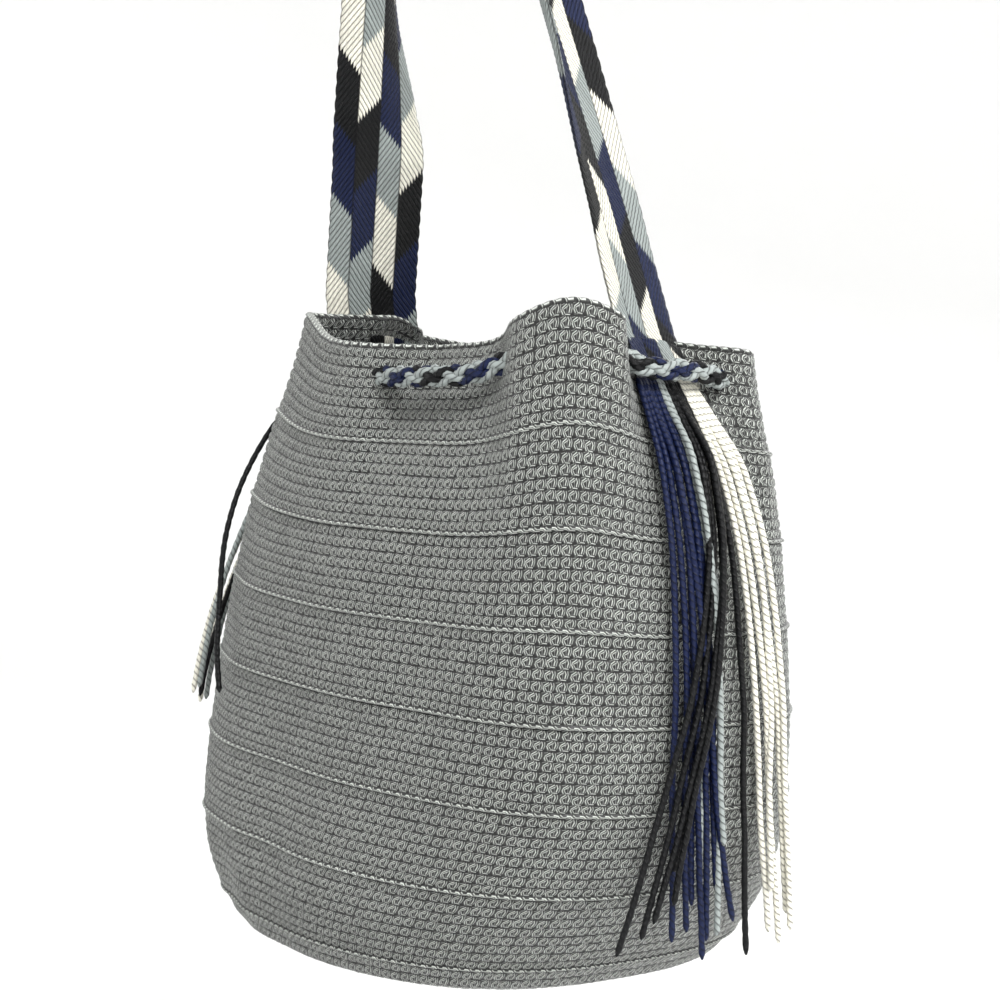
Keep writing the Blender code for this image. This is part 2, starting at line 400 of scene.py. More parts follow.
class Effect:
    """A shader node group with named inputs and outputs."""

    def __init__(
        self, name: str, inputs: tuple[tuple[str, str], ...], outputs: tuple[str, ...]
    ) -> None:
        """Make the empty group.

        Args:
            name: the group's name.
            inputs: each input's name and kind, Vector or Float.
            outputs: each output's name; all are numbers.
        """
        self.tree = bpy.data.node_groups.new(name, "ShaderNodeTree")
        for label, kind in inputs:
            self.tree.interface.new_socket(
                name=label, in_out="INPUT", socket_type=f"NodeSocket{kind}"
            )
        for label in outputs:
            self.tree.interface.new_socket(
                name=label, in_out="OUTPUT", socket_type="NodeSocketFloat"
            )
        self.graph = Graph(self.tree)
        self.given = self.graph.add("NodeGroupInput").outputs
        self.result = self.graph.add("NodeGroupOutput").inputs

    def place_in(self, graph: Graph, **values: object) -> bpy.types.Node:
        """Put the group in a material and feed its inputs by name."""
        node = graph.add("ShaderNodeGroup", node_tree=self.tree)
        for name, value in values.items():
            graph.feed(node.inputs[name], value)
        return node


# One stitch, as strands of its yarn on a square: across from 0 to 1, down from 0 to 1,
# then the strand's half width and its height.
STITCH_STRANDS = (
    ((0.14, 0.34), (0.44, 0.10), 0.068, 1.00),
    ((0.25, 0.45), (0.53, 0.26), 0.060, 0.95),
    ((0.14, 0.34), (0.09, 0.58), 0.066, 0.85),
    ((0.09, 0.58), (0.23, 0.84), 0.066, 0.95),
    ((0.23, 0.52), (0.40, 0.80), 0.058, 0.80),
    ((0.64, 0.10), (0.76, 0.36), 0.066, 0.80),
    ((0.76, 0.36), (0.72, 0.72), 0.070, 1.00),
    ((0.88, 0.14), (0.94, 0.42), 0.058, 0.70),
    ((0.94, 0.42), (0.89, 0.74), 0.058, 0.75),
    ((0.46, 0.86), (0.80, 0.89), 0.066, 0.95),
    ((0.50, 0.44), (0.58, 0.12), 0.050, 0.62),
    ((0.52, 0.50), (0.56, 0.78), 0.048, 0.55),
    ((0.02, 0.12), (0.26, 0.05), 0.048, 0.60),
    ((0.24, 0.97), (0.44, 0.93), 0.050, 0.60),
)
# Holes between the strands: middle, half width and depth. They sink the mesh's relief, and in
# the shader they place the painted shade in the holes.
STITCH_PITS = (
    ((0.50, 0.60), 0.15, 0.80), ((0.98, 0.93), 0.20, 1.0), ((0.02, 0.97), 0.18, 1.0),
    ((0.34, 1.00), 0.17, 1.0), ((0.60, 0.02), 0.14, 0.8),
)
STITCH_JITTER = 0.13
# How the mesh's relief is made up: the strands, the row's own roundness, and how far one
# stitch's height differs from another's.
STRAND_SHARE = 0.55
ROUND_SHARE = 0.45
HEIGHT_SPREAD = 0.12
STRAND_SOFTNESS = 2.6
PIT_SHARE = 0.5
ROUND_POWER = 0.6
# One loop of a raised chain row, on a strip as wide as a stitch.
CHAIN_STRANDS = (
    ((0.00, 0.11), (0.30, 0.13), 0.075, 1.00),
    ((0.30, 0.13), (0.58, 0.32), 0.075, 1.00),
    ((0.58, 0.32), (1.00, 0.31), 0.075, 0.95),
    ((0.00, 0.21), (0.24, 0.24), 0.055, 0.85),
    ((0.24, 0.24), (0.44, 0.38), 0.055, 0.85),
    ((0.50, 0.07), (0.72, 0.19), 0.058, 0.90),
    ((0.72, 0.19), (1.00, 0.20), 0.058, 0.85),
)
# Holes of a chain loop: middle, half width and depth; only the shader uses them, for the painted
# shade in its holes.
CHAIN_PITS = (((0.30, 0.40), 0.12, 0.8), ((0.86, 0.02), 0.10, 0.8))
CHAIN_TALL = 0.42
CHAIN_JITTER = 0.04


def stitch_relief(across: np.ndarray, down: np.ndarray) -> np.ndarray:
    """Return the yarn's rough height over the fabric at places counted in stitches.

    Args:
        across: stitches round the bag.
        down: rows below the rim.

    Returns:
        Heights, about 0 in the holes and 1 on the strands.
    """
    cell_x, cell_y = np.floor(across), np.floor(down)
    u = across - cell_x + (hashed(cell_x, cell_y, 1.0) - 0.5) * STITCH_JITTER
    v = down - cell_y + (hashed(cell_x, cell_y, 2.0) - 0.5) * STITCH_JITTER
    height = np.zeros_like(u)
    for start, end, half, level in STITCH_STRANDS:
        run = (end[0] - start[0], end[1] - start[1])
        share = ((u - start[0]) * run[0] + (v - start[1]) * run[1]) / (
            run[0] ** 2 + run[1] ** 2
        )
        share = np.clip(share, 0.0, 1.0)
        gap = (u - start[0] - share * run[0]) ** 2 + (v - start[1] - share * run[1]) ** 2
        height = np.maximum(height, level * np.exp(-gap / (STRAND_SOFTNESS * half ** 2)))
    round_row = np.sin(math.pi * np.clip(down - cell_y, 0.0, 1.0)) ** ROUND_POWER
    for middle, half, level in STITCH_PITS:
        gap = (u - middle[0]) ** 2 + (v - middle[1]) ** 2
        height -= PIT_SHARE * level * np.exp(-gap / half ** 2)
    uneven = HEIGHT_SPREAD * (hashed(cell_x, cell_y, 3.0) - 0.5)
    return STRAND_SHARE * height + ROUND_SHARE * round_row + uneven


class Effects:
    """Every shader effect that more than one finish uses."""

    def __init__(self) -> None:
        """Build the groups."""
        self.stitches = self.build_stitches(
            "crochet_stitch", STITCH_STRANDS, STITCH_PITS, 1.0, STITCH_JITTER
        )
        self.chain = self.build_stitches(
            "crochet_chain", CHAIN_STRANDS, CHAIN_PITS, CHAIN_TALL, CHAIN_JITTER
        )
        self.ply = self.build_ply()

    def build_stitches(
        self, name: str, strands: tuple, pits: tuple, tall: float, jitter: float
    ) -> Effect:
        """Make one kind of stitch: its strands, its holes with their painted shade, and its own
        random shade.

        Args:
            name: the group's name.
            strands: start, end, half width and height of each strand.
            pits: middle, half width and depth of each hole, where shade is painted.
            tall: the stitch's height over its width.
            jitter: how far one stitch differs from the next.

        Returns:
            The effect: its input counts stitches across and rows down.
        """
        effect = Effect(name, (("Place", "Vector"),), ("Height", "Hole", "Shade"))
        graph = effect.graph
        cell = graph.vector("FLOOR", effect.given["Place"])
        own = graph.cell_noise(cell)
        shift = graph.vector("SUBTRACT", own.outputs["Color"], (0.5, 0.5, 0.5))
        shift = graph.scaled(shift, jitter)
        local = graph.vector("FRACTION", effect.given["Place"])
        parts = graph.add("ShaderNodeSeparateXYZ")
        graph.feed(parts.inputs[0], local)
        # Painted shade: the colour darkens along the gap between rows and in the pits, less
        # where a strand lies over them.
        valley = graph.math("ABSOLUTE", graph.math("SUBTRACT", parts.outputs[1], 0.5))
        valley_shade = 0.75 if tall == 1.0 else 0.3
        hole_shade: object = graph.ranged(valley, 0.40, 0.5, 0.0, valley_shade)
        local = graph.vector("ADD", local, shift)
        local = graph.vector("MULTIPLY", local, (1.0, tall, 0.0))
        height: object = 0.0
        for start, end, half, level in strands:
            run = Vector((end[0] - start[0], end[1] - start[1], 0.0))
            away = graph.vector("SUBTRACT", local, (*start, 0.0))
            share = graph.vector("DOT_PRODUCT", away, tuple(run / run.length_squared))
            clamped = graph.math("MINIMUM", graph.math("MAXIMUM", share, 0.0), 1.0)
            nearest = graph.scaled(tuple(run), clamped)
            gap = graph.vector("DISTANCE", away, nearest)
            rise = graph.ranged(gap, half * 1.3, half * 0.1, 0.0, level)
            height = graph.math("MAXIMUM", rise, height)
        for middle, half, level in pits:
            gap = graph.vector("DISTANCE", local, (*middle, 0.0))
            hole_shade = graph.math("MAXIMUM", graph.ranged(gap, half, half * 0.2, 0.0, level), hole_shade)
        hole_shade = graph.math(
            "MULTIPLY", hole_shade, graph.math("SUBTRACT", 1.0, graph.math("MULTIPLY", height, 0.9))
        )
        graph.feed(effect.result["Height"], height)
        graph.feed(effect.result["Hole"], hole_shade)
        graph.feed(effect.result["Shade"], own.outputs["Value"])
        return effect

    def build_ply(self) -> Effect:
        """Make the plies twisted into one yarn: u runs round it, v along it."""
        effect = Effect(
            "ply_twist",
            (("Place", "Vector"), ("Plies", "Float"), ("Turns", "Float")),
            ("Height", "Hole"),
        )
        graph = effect.graph
        parts = graph.add("ShaderNodeSeparateXYZ")
        graph.feed(parts.inputs[0], effect.given["Place"])
        around = graph.math("MULTIPLY", parts.outputs[0], effect.given["Plies"])
        along = graph.math("MULTIPLY", parts.outputs[1], effect.given["Turns"])
        phase = graph.math("MULTIPLY", graph.math("ADD", around, along), math.pi)
        wave = graph.math("ABSOLUTE", graph.math("SINE", phase))
        graph.feed(effect.result["Height"], graph.ranged(wave, 0.0, 0.75))
        # Painted shade in the grooves between the plies.
        graph.feed(effect.result["Hole"], graph.ranged(wave, 0.42, 0.0))
        return effect


@dataclass(frozen=True)
class CottonFinish:
    """Mercerised cotton: soft gloss, a little sheen, random tone, painted highlights and painted
    shade.
    """

    name: str
    colour: Yarn
    roughness: float = 0.42
    sheen: float = 0.25
    bump: float = 0.6
    relief: float = 0.45 * MM
    specular: float = 0.5
    dark: float = 0.38              # painted shade: the colour's share at the yarn's foot
    light: float = 1.35             # painted highlight: what it gains at the top of a strand
    curve: float = 1.0              # above 1 only the tops get the painted highlight
    depth: float = 0.94             # painted shade: how dark the holes are
    shade_spread: float = 0.16      # from one stitch or strand to another
    patch_spread: float = 0.24      # from one patch of the bag to another
    patch_scale: float = 30.0
    gloss_gain: float = 0.12        # less roughness on the tops

    def start(self) -> tuple[Graph, bpy.types.Node, bpy.types.Material]:
        """Make the material with its plain shader settings.

        Returns:
            The material's graph, its Principled shader, and the material.
        """
        made = bpy.data.materials.new(self.name)
        made.use_nodes = True
        graph = Graph(made.node_tree)
        shader = made.node_tree.nodes["Principled BSDF"]
        shader.inputs["Sheen Weight"].default_value = self.sheen
        shader.inputs["Sheen Roughness"].default_value = 0.45
        shader.inputs["Specular IOR Level"].default_value = self.specular
        return graph, shader, made

    def place(self, graph: Graph) -> bpy.types.NodeSocket:
        """Return the mesh's own texture places."""
        return graph.add("ShaderNodeUVMap", uv_map="place").outputs[0]

    def finish(
        self,
        graph: Graph,
        shader: bpy.types.Node,
        colour: object,
        height: object,
        hole_shade: object,
        shade: object,
    ) -> None:
        """Paint highlights and shade into the colour by height and hole, and wire the shader.

        Args:
            graph: the material's graph.
            shader: its Principled shader.
            colour: the yarn's colour.
            height: the strands' height, from 0 to 1; it sets the bump and the painted highlight.
            hole_shade: how far a place lies in a gap, from 0 to 1; it darkens the colour as
                painted shade.
            shade: a random number for each stitch or strand.
        """
        patch = graph.noise(
            graph.add("ShaderNodeTexCoord").outputs["Object"], self.patch_scale
        )
        # Painted highlight and shade: the value rises from dark at the strands' feet to light on
        # their tops.
        curved = graph.math("POWER", height, self.curve)
        value = graph.math("MULTIPLY_ADD", curved, self.light, self.dark)
        for chance, spread in ((shade, self.shade_spread), (patch, self.patch_spread)):
            varied = graph.math("MULTIPLY_ADD", chance, spread, 1.0 - spread / 2)
            value = graph.math("MULTIPLY", value, varied)
        # Painted shade: the holes are darkened by depth.
        value = graph.math(
            "MULTIPLY", value, graph.math("MULTIPLY_ADD", hole_shade, -self.depth, 1.0)
        )
        tinted = graph.add("ShaderNodeHueSaturation")
        graph.feed(tinted.inputs["Color"], colour)
        graph.feed(tinted.inputs["Value"], value)
        graph.feed(shader.inputs["Base Color"], tinted.outputs[0])
        gloss = graph.math("MULTIPLY_ADD", height, -self.gloss_gain, self.roughness + 0.08)
        graph.feed(shader.inputs["Roughness"], gloss)
        bump = graph.add("ShaderNodeBump")
        bump.inputs["Strength"].default_value = self.bump
        bump.inputs["Distance"].default_value = self.relief
        graph.feed(bump.inputs["Height"], height)
        graph.feed(shader.inputs["Normal"], bump.outputs[0])


class Finishes:
    """Every finish of the bag, made once."""

    def __init__(self) -> None:
        """Build the effects and the materials."""
        self.effects = Effects()
        self.crochet = self.stitched("bag_crochet", self.effects.stitches)
        self.ridge = self.stitched("bag_chain", self.effects.chain)
        self.strap = self.build_strap()
        self.yarn = {
            tone: self.plied(f"{tone.name.lower()}_yarn", tone)
            for tone in (Yarn.NAVY, Yarn.GREY, Yarn.BLACK, Yarn.IVORY)
        }
        self.floor = self.build_floor()

    def stitched(self, name: str, effect: Effect) -> bpy.types.Material:
        """Make the bag's grey yarn in one kind of stitch.

        Args:
            name: the material's name.
            effect: the stitch.

        Returns:
            The material.
        """
        # Painted light: the strands' tops much lighter than their feet, and the holes nearly
        # black with painted shade.
        cotton = CottonFinish(
            name, Yarn.BODY, roughness=0.40, bump=1.0, relief=1.1 * MM,
            dark=0.07, light=2.35, depth=0.985, curve=1.8,
        )
        graph, shader, made = cotton.start()
        node = effect.place_in(graph, Place=cotton.place(graph))
        cotton.finish(
            graph, shader, cotton.colour.rgba,
            node.outputs["Height"], node.outputs["Hole"], node.outputs["Shade"],
        )
        return made

    def plied(self, name: str, tone: Yarn) -> bpy.types.Material:
        """Make one loose plied yarn.

        Args:
            name: the material's name.
            tone: the yarn's colour.

        Returns:
            The material.
        """
        dull = tone in (Yarn.NAVY, Yarn.BLACK)
        # dark, light and depth paint highlights on the plies and shade in the grooves between
        # them.
        cotton = CottonFinish(
            name, tone, roughness=0.5, sheen=0.0 if dull else 0.15, bump=0.8,
            specular=0.22 if dull else 0.4,
            relief=0.35 * MM, dark=0.62, light=0.5, depth=0.55,
        )
        graph, shader, made = cotton.start()
        node = self.effects.ply.place_in(
            graph, Place=cotton.place(graph), Plies=2.0, Turns=1.0 / (3.4 * MM)
        )
        cotton.finish(
            graph, shader, tone.rgba, node.outputs["Height"], node.outputs["Hole"], 0.5
        )
        return made

    def build_strap(self) -> bpy.types.Material:
        """Make the oblique weave.

        Returns:
            The material: u counts columns, v is the distance along in metres.
        """
        # dark, light and depth paint highlights on the strands' tops and shade between the
        # strands and at the columns' seams.
        cotton = CottonFinish(
            "strap_weave", Yarn.GREY, roughness=0.55, sheen=0.0, bump=0.9, specular=0.25,
            relief=0.5 * MM, dark=0.58, light=0.55, depth=0.75,
        )
        graph, shader, made = cotton.start()
        weave = StrapWeave()
        parts = graph.add("ShaderNodeSeparateXYZ")
        graph.feed(parts.inputs[0], cotton.place(graph))
        across, along = parts.outputs[0], parts.outputs[1]
        column = graph.math("FLOOR", across)
        local = graph.math("FRACT", across)
        odd = graph.math("MODULO", column, 2.0)
        lean = graph.math("MULTIPLY_ADD", odd, -2.0, 1.0)
        leaning = graph.math("MULTIPLY", local, lean)
        run = graph.math("MULTIPLY_ADD", leaning, weave.strand_rise, along)
        strand = graph.math("DIVIDE", run, weave.strand_pitch)
        number = graph.math("FLOOR", strand)
        part = graph.math("FRACT", strand)
        edge = graph.math(
            "MULTIPLY_ADD", leaning, -(weave.strand_rise + weave.block_rise),
            graph.math("MULTIPLY", number, weave.strand_pitch),
        )
        first = graph.ramp(
            graph.math("MULTIPLY_ADD", column, 0.25, 0.02),
            tuple((0.25 * step, (start / 4.0,) * 3 + (1.0,))
                  for step, start in enumerate(weave.starts)),
        )
        block = graph.math("FLOOR", graph.math("DIVIDE", edge, weave.block))
        turn = graph.math("MULTIPLY_ADD", first, 4.0, block)
        turn = graph.math("FLOORED_MODULO", graph.math("ADD", turn, 0.5), 4.0)
        colour = graph.ramp(
            graph.math("DIVIDE", turn, 4.0),
            tuple((0.25 * step, tone.rgba)
                  for step, tone in enumerate((Yarn.GREY, Yarn.IVORY, Yarn.BLACK, Yarn.NAVY))),
        )
        wave = graph.math("SINE", graph.math("MULTIPLY", part, math.pi))
        body = graph.ranged(wave, 0.0, 0.8)
        spun = graph.add("ShaderNodeCombineXYZ")
        graph.feed(spun.inputs[0], part)
        graph.feed(spun.inputs[1], graph.math("MULTIPLY", leaning, weave.column_width))
        ply = self.effects.ply.place_in(
            graph, Place=spun.outputs[0], Plies=1.0, Turns=1.0 / weave.ply_pitch
        )
        seam = graph.math("ABSOLUTE", graph.math("SUBTRACT", local, 0.5))
        seam = graph.ranged(seam, 0.44, 0.5)
        height = graph.math(
            "MULTIPLY", body, graph.math("MULTIPLY_ADD", ply.outputs["Height"], 0.35, 0.65)
        )
        # Painted shade between the strands and along the seams between columns.
        hole_shade = graph.math("SUBTRACT", 1.0, graph.ranged(wave, 0.0, 0.35))
        hole_shade = graph.math("MAXIMUM", graph.math("MULTIPLY", hole_shade, 0.75), seam)
        own = graph.add("ShaderNodeCombineXYZ")
        graph.feed(own.inputs[0], column)
        graph.feed(own.inputs[1], number)
        shade = graph.cell_noise(own.outputs[0]).outputs["Value"]
        cotton.finish(graph, shader, colour, height, hole_shade, shade)
        return made

    def build_floor(self) -> bpy.types.Material:
        """Make the pale matt floor."""
        made = bpy.data.materials.new("studio_floor")
        made.use_nodes = True
        shader = made.node_tree.nodes["Principled BSDF"]
        shader.inputs["Base Color"].default_value = (0.86, 0.86, 0.855, 1.0)
        shader.inputs["Roughness"].default_value = 0.9
        return made


# --------------------------------------------------------------------------- bag body


@dataclass
class Wall:
    """The bag's outer face as a surface of an angle and a depth below the rim."""

    rim_z: float = -0.442
    height: float = 0.290
    base_x: float = 0.007
    base_y: float = 0.077
    lean_x: float = 0.022
    lean_y: float = -0.010
    squareness: float = 2.4
    fold_depth: float = 0.021
    fold_reach: float = 0.120
    fold_sharpness: float = 3.0
    rise_reach: float = 0.16            # depth at which the rim's rises have faded
    rise_power: float = 1.5
    smoothing: int = 14                 # samples that the outline's corners are eased over
    samples: int = 700
    outline: tuple = (
        (0.000, 0.118, 0.079), (0.022, 0.129, 0.087), (0.050, 0.142, 0.095),
        (0.085, 0.152, 0.102), (0.125, 0.159, 0.107), (0.165, 0.164, 0.110),
        (0.200, 0.164, 0.114), (0.230, 0.157, 0.120), (0.255, 0.143, 0.124),
        (0.274, 0.130, 0.120), (0.286, 0.117, 0.112),
    )
    eyelets: tuple = (-21.0, 21.0, 48.0, 84.0, 110.0, 136.0, 159.0, 201.0, 272.0, 308.0)
    # Where the rim stands higher or lower than its mean: (degrees, width, rise)
    rim_rises: tuple = (
        (0.0, 26.0, 0.011), (186.0, 30.0, 0.014), (323.0, 17.0, 0.023),
        (290.0, 14.0, 0.002), (58.0, 16.0, -0.010), (35.0, 12.0, 0.002),
        (226.0, 22.0, 0.011),
    )
    # Soft dents and swells: (degrees, depth, width in degrees, height, outward)
    dents: tuple = (
        (232.0, -0.005, 36.0, 0.075, -0.0200), (44.0, -0.005, 26.0, 0.060, -0.0110),
        (262.0, 0.235, 11.0, 0.050, -0.0050), (243.0, 0.262, 9.0, 0.030, -0.0055),
        (296.0, 0.120, 9.0, 0.075, -0.0030), (318.0, 0.150, 14.0, 0.080, 0.0035),
        (272.0, 0.100, 11.0, 0.060, 0.0030), (350.0, 0.200, 12.0, 0.070, -0.0020),
        (20.0, 0.150, 12.0, 0.080, 0.0025), (60.0, 0.190, 16.0, 0.060, -0.0035),
        (110.0, 0.160, 18.0, 0.070, 0.0035), (150.0, 0.230, 15.0, 0.050, -0.0035),
        (200.0, 0.170, 15.0, 0.070, 0.0025), (232.0, 0.140, 10.0, 0.060, -0.0030),
    )

    def __post_init__(self) -> None:
        """Smooth the outline once."""
        depth = np.linspace(-0.03, self.height + 0.02, self.samples)
        table = np.array(self.outline)
        spread = self.smoothing
        kernel = np.exp(-(np.arange(-3 * spread, 3 * spread + 1) / spread) ** 2)
        kernel /= kernel.sum()
        self.depths = depth
        self.halves = []
        for column in (1, 2):
            slope = (table[1, column] - table[0, column]) / (table[1, 0] - table[0, 0])
            values = np.interp(depth, table[:, 0], table[:, column])
            values = np.where(depth < 0.0, table[0, column] + slope * depth, values)
            padded = np.pad(values, 3 * spread, mode="edge")
            self.halves.append(np.convolve(padded, kernel, mode="valid"))

    def fold(self, degrees: np.ndarray, depth: np.ndarray) -> np.ndarray:
        """Return how far the gathers move the wall out.

        Args:
            degrees: angles round the bag.
            depth: depths below the rim.

        Returns:
            Distances, below 0 where the wall is drawn in.
        """
        fade = np.clip(1.0 - np.maximum(depth, 0.0) / self.fold_reach, 0.0, 1.0) ** 2
        first = self.eyelets[0]
        turned = (degrees - first) % 360.0 + first
        stops = np.array((*self.eyelets, first + 360.0))
        number = np.clip(np.searchsorted(stops, turned, side="right") - 1, 0, len(stops) - 2)
        start, end = stops[number], stops[number + 1]
        swing = np.sin(math.pi * (turned - start) / (end - start))
        side = np.where(number % 2 == 0, -1.0, 1.0)
        shape = np.tanh(self.fold_sharpness * swing) / math.tanh(self.fold_sharpness)
        return self.fold_depth * fade * side * shape

    def place(
        self, degrees: np.ndarray, depth: np.ndarray, outward: object = 0.0,
        folded: bool = True, soft: bool = True,
    ) -> np.ndarray:
        """Return points on the wall.

        Args:
            degrees: angles round the bag.
            depth: depths below the rim.
            outward: distance outward of the face.
            folded: whether the gathers at the mouth count.
            soft: whether the rim's rises and the dents count.

        Returns:
            Points, with a last axis of 3.
        """
        degrees, depth = np.broadcast_arrays(
            np.asarray(degrees, float), np.asarray(depth, float)
        )
        angle = np.radians(degrees)
        held = np.clip(depth, -0.02, self.outline[-1][0])
        wide = np.interp(held, self.depths, self.halves[0])
        deep = np.interp(held, self.depths, self.halves[1])
        out = np.zeros_like(depth) + outward
        if folded:
            out = out + self.fold(degrees, depth)
        rise = np.zeros_like(depth)
        if soft:
            for middle, low, width, tall, push in self.dents:
                out = out + push * bump_at(degrees, middle, width) * np.exp(
                    -(((depth - low) / tall) ** 2)
                )
            fade = np.clip(1.0 - np.maximum(depth, 0.0) / self.rise_reach, 0.0, 1.0)
            fade = fade ** self.rise_power
            for middle, width, lift in self.rim_rises:
                rise = rise + lift * bump_at(degrees, middle, width) * fade
        power = self.squareness
        reach = np.abs(np.cos(angle)) ** power + np.abs(np.sin(angle)) ** power
        full = reach ** (-1.0 / power)
        share = 1.0 - depth / self.height
        x = self.base_x + self.lean_x * share + (wide * full + out) * np.cos(angle)
        y = self.base_y + self.lean_y * share + (deep * full + out) * np.sin(angle)
        return np.stack([x, y, self.rim_z - depth + rise], axis=-1)


@dataclass
class BagBody:
    """The crocheted body: wall, rim, base and inner face."""

    wall: Wall
    finishes: Finishes
    stitches: int = 162
    columns_each: int = 5
    rows_each: int = 5
    ridge_rows: int = 3
    ridge_height: float = 0.46          # of a row
    rows_to_ridge: tuple = (9, 8, 8, 8, 8, 8, 8)
    short_row: float = 0.86             # the row over a ridge
    rows_below: int = 2
    band_ends: tuple = (19, 37)         # where the wall's pieces meet, in rows and ridges
    chain_lag: float = 0.95             # stitches that a chain's loop runs on in its row
    drift: float = -0.10                # stitches for each row down
    relief: float = 1.25 * MM
    ridge_relief: float = 1.9 * MM
    thickness: float = 4.0 * MM
    reference: float = 321.0            # degrees where the stitches are counted from
    ring_samples: int = 1441
    mean_relief: float = 0.55
    rim_rows: int = 8
    rim_relief: float = 0.35 * MM
    base_rows: int = 20
    base_rows_each: int = 4
    base_columns: int = 480
    base_sag: float = 2.0 * MM
    base_relief: float = 0.8            # of the wall's
    inside_columns: int = 320
    inside_rings: int = 8
    inside_ring_rows: float = 2.5
    row_edge: float = 1e-4              # keeps a row's last place inside the row

    def row_plan(self) -> list[tuple[bool, float, float]]:
        """List the rows from the rim down.

        Returns:
            For each, whether it is a ridge, its top and its bottom. Depths are shares of
            the wall's height.
        """
        plan = []
        place = 0.0
        for count in self.rows_to_ridge:
            for number in range(count):
                tall = self.short_row if number == count - 1 else 1.0
                plan.append((False, place, place + tall))
                place += tall
            plan.append((True, place, place + self.ridge_height))
            place += self.ridge_height
        for _number in range(self.rows_below):
            plan.append((False, place, place + 1.0))
            place += 1.0
        return [(ridge, top / place, low / place) for ridge, top, low in plan]

    def ring_angles(self, depth: float, count: int, turn: float) -> np.ndarray:
        """Return the angles of evenly spaced places round the wall at a depth.

        Args:
            depth: depth below the rim.
            count: how many places.
            turn: how far the places are moved on, in places.

        Returns:
            Angles in degrees.
        """
        fine = np.linspace(0.0, 360.0, self.ring_samples) + self.reference
        run = run_along(self.wall.place(fine, np.full_like(fine, depth))[:, :2])
        wanted = (np.arange(count) + turn) / count * run[-1]
        return np.interp(wanted % run[-1], run, fine) + 360.0 * np.floor(wanted / run[-1])

    def build(self) -> None:
        """Build every piece of the body."""
        self.build_wall()
        self.build_base()
        self.build_inside()

    def build_wall(self) -> None:
        """Build the wall in bands that meet at ridges, with the rim on the first."""
        plan = self.row_plan()
        bottom = self.wall.outline[-1][0]
        count = self.stitches * self.columns_each
        across = np.arange(count + 1) / self.columns_each
        ends = (0, *self.band_ends, len(plan))
        heading = 0
        for name, start, end in zip(("upper", "middle", "lower"), ends, ends[1:]):
            parts = MeshParts()
            rows, places, finish = [], [], []
            if start == 0:
                self.add_rim(rows, places, finish, count, across)
            for number in range(start, end):
                ridge, top, low = plan[number]
                steps = self.ridge_rows if ridge else self.rows_each
                for step in range(steps):
                    share = step / steps
                    depth = (top + (low - top) * share) * bottom
                    rows.append(self.ring(depth, count, across, heading + share, ridge, share))
                    first = 0.0 if ridge else heading
                    lower = first + (step + 1) / steps - self.row_edge * (not ridge)
                    places.append(row_places(across, first + share, lower))
                    finish.append(1 if ridge else 0)
                if not ridge:
                    heading += 1
            _ridge, _top, low = plan[end - 1]
            rows.append(self.ring(low * bottom, count, across, heading, False, 0.0))
            parts.add_grid(np.array(rows), np.array(places), True, np.array(finish))
            fit_out(
                parts.to_object(f"wall_{name}"), ("bag_body",), "bag_yarn",
                self.finishes.crochet, self.finishes.ridge,
            )

    def ring(
        self, depth: float, count: int, across: np.ndarray, row: float, ridge: bool, share: float
    ) -> np.ndarray:
        """Return one ring of points with the stitches' relief.

        Args:
            depth: depth below the rim.
            count: how many points.
            across: the stitch number at each point.
            row: rows above this ring.
            ridge: whether it lies in a ridge.
            share: how far down its row it lies.

        Returns:
            The ring's points.
        """
        turn = self.drift * row * self.columns_each
        degrees = self.ring_angles(depth, count, turn)
        if ridge:
            lay = np.abs(np.sin(math.pi * (across[:-1] - self.chain_lag * share)))
            out = self.ridge_relief * (math.sin(math.pi * share) * (0.6 + 0.4 * lay))
        else:
            height = stitch_relief(across[:-1], np.full(count, row))
            out = self.relief * (height - self.mean_relief)
        return self.wall.place(degrees, np.full(count, depth), out)

    def add_rim(
        self, rows: list, places: list, finish: list, count: int, across: np.ndarray
    ) -> None:
        """Add the rounded top edge, from the inner face over to the outer one.

        Args:
            rows: the rings so far, which it adds to.
            places: their texture places, which it adds to.
            finish: their material numbers, which it adds to.
            count: points in a ring.
            across: the stitch number at each point.
        """
        degrees = self.ring_angles(0.0, count, 0.0)
        half = self.thickness / 2
        for step in range(self.rim_rows):
            share = step / self.rim_rows
            angle = math.pi * (1.0 - share)
            lag = self.chain_lag * share
            lay = self.rim_relief * np.abs(np.sin(math.pi * (across[:-1] - lag)))
            out = -half + (half + lay) * math.cos(angle)
            ring = self.wall.place(degrees, np.zeros(count), out)
            ring[:, 2] += (half + lay) * math.sin(angle)
            rows.append(ring)
            places.append(row_places(across, share, (step + 1) / self.rim_rows))
            finish.append(1)

    def build_base(self) -> None:
        """Build the round base, crocheted in a spiral from its middle."""
        count = self.base_columns
        degrees = self.ring_angles(self.wall.outline[-1][0], count, 0.0)
        edge = self.wall.place(degrees, np.full(count, self.wall.outline[-1][0]))
        low = self.wall.rim_z - self.wall.height
        middle = np.array([self.wall.base_x, self.wall.base_y, low])
        steps = self.base_rows * self.base_rows_each
        parts = MeshParts()
        drop = edge[0, 2] - middle[2]
        rows, places = [], []
        for step in range(steps):
            share = step / steps
            row = step / self.base_rows_each
            stitches = max(6.0, self.stitches * (1.0 - math.floor(row) / self.base_rows))
            across = np.arange(count + 1) / count * round(stitches)
            height = stitch_relief(across[:-1], np.full(count, row)) - self.mean_relief
            relief = self.relief * self.base_relief * height
            ring = middle + (edge - middle) * (1.0 - share)
            turn = math.sin(min(1.0, share * 6.0) * math.pi / 2)
            ring[:, 2] = edge[:, 2] - drop * turn - self.base_sag * math.sin(
                math.pi / 2 * min(1.0, share * 2.0)
            ) - relief
            rows.append(ring)
            lower = row + 1.0 / self.base_rows_each - self.row_edge
            places.append(row_places(across, row, lower))
        rows.append(np.repeat(rows[-1].mean(axis=0)[None, :], count, axis=0))
        parts.add_grid(np.array(rows), np.array(places), True, 0)
        fit_out(
            parts.to_object("base_disc"), ("bag_body",), "bag_yarn", self.finishes.crochet
        )

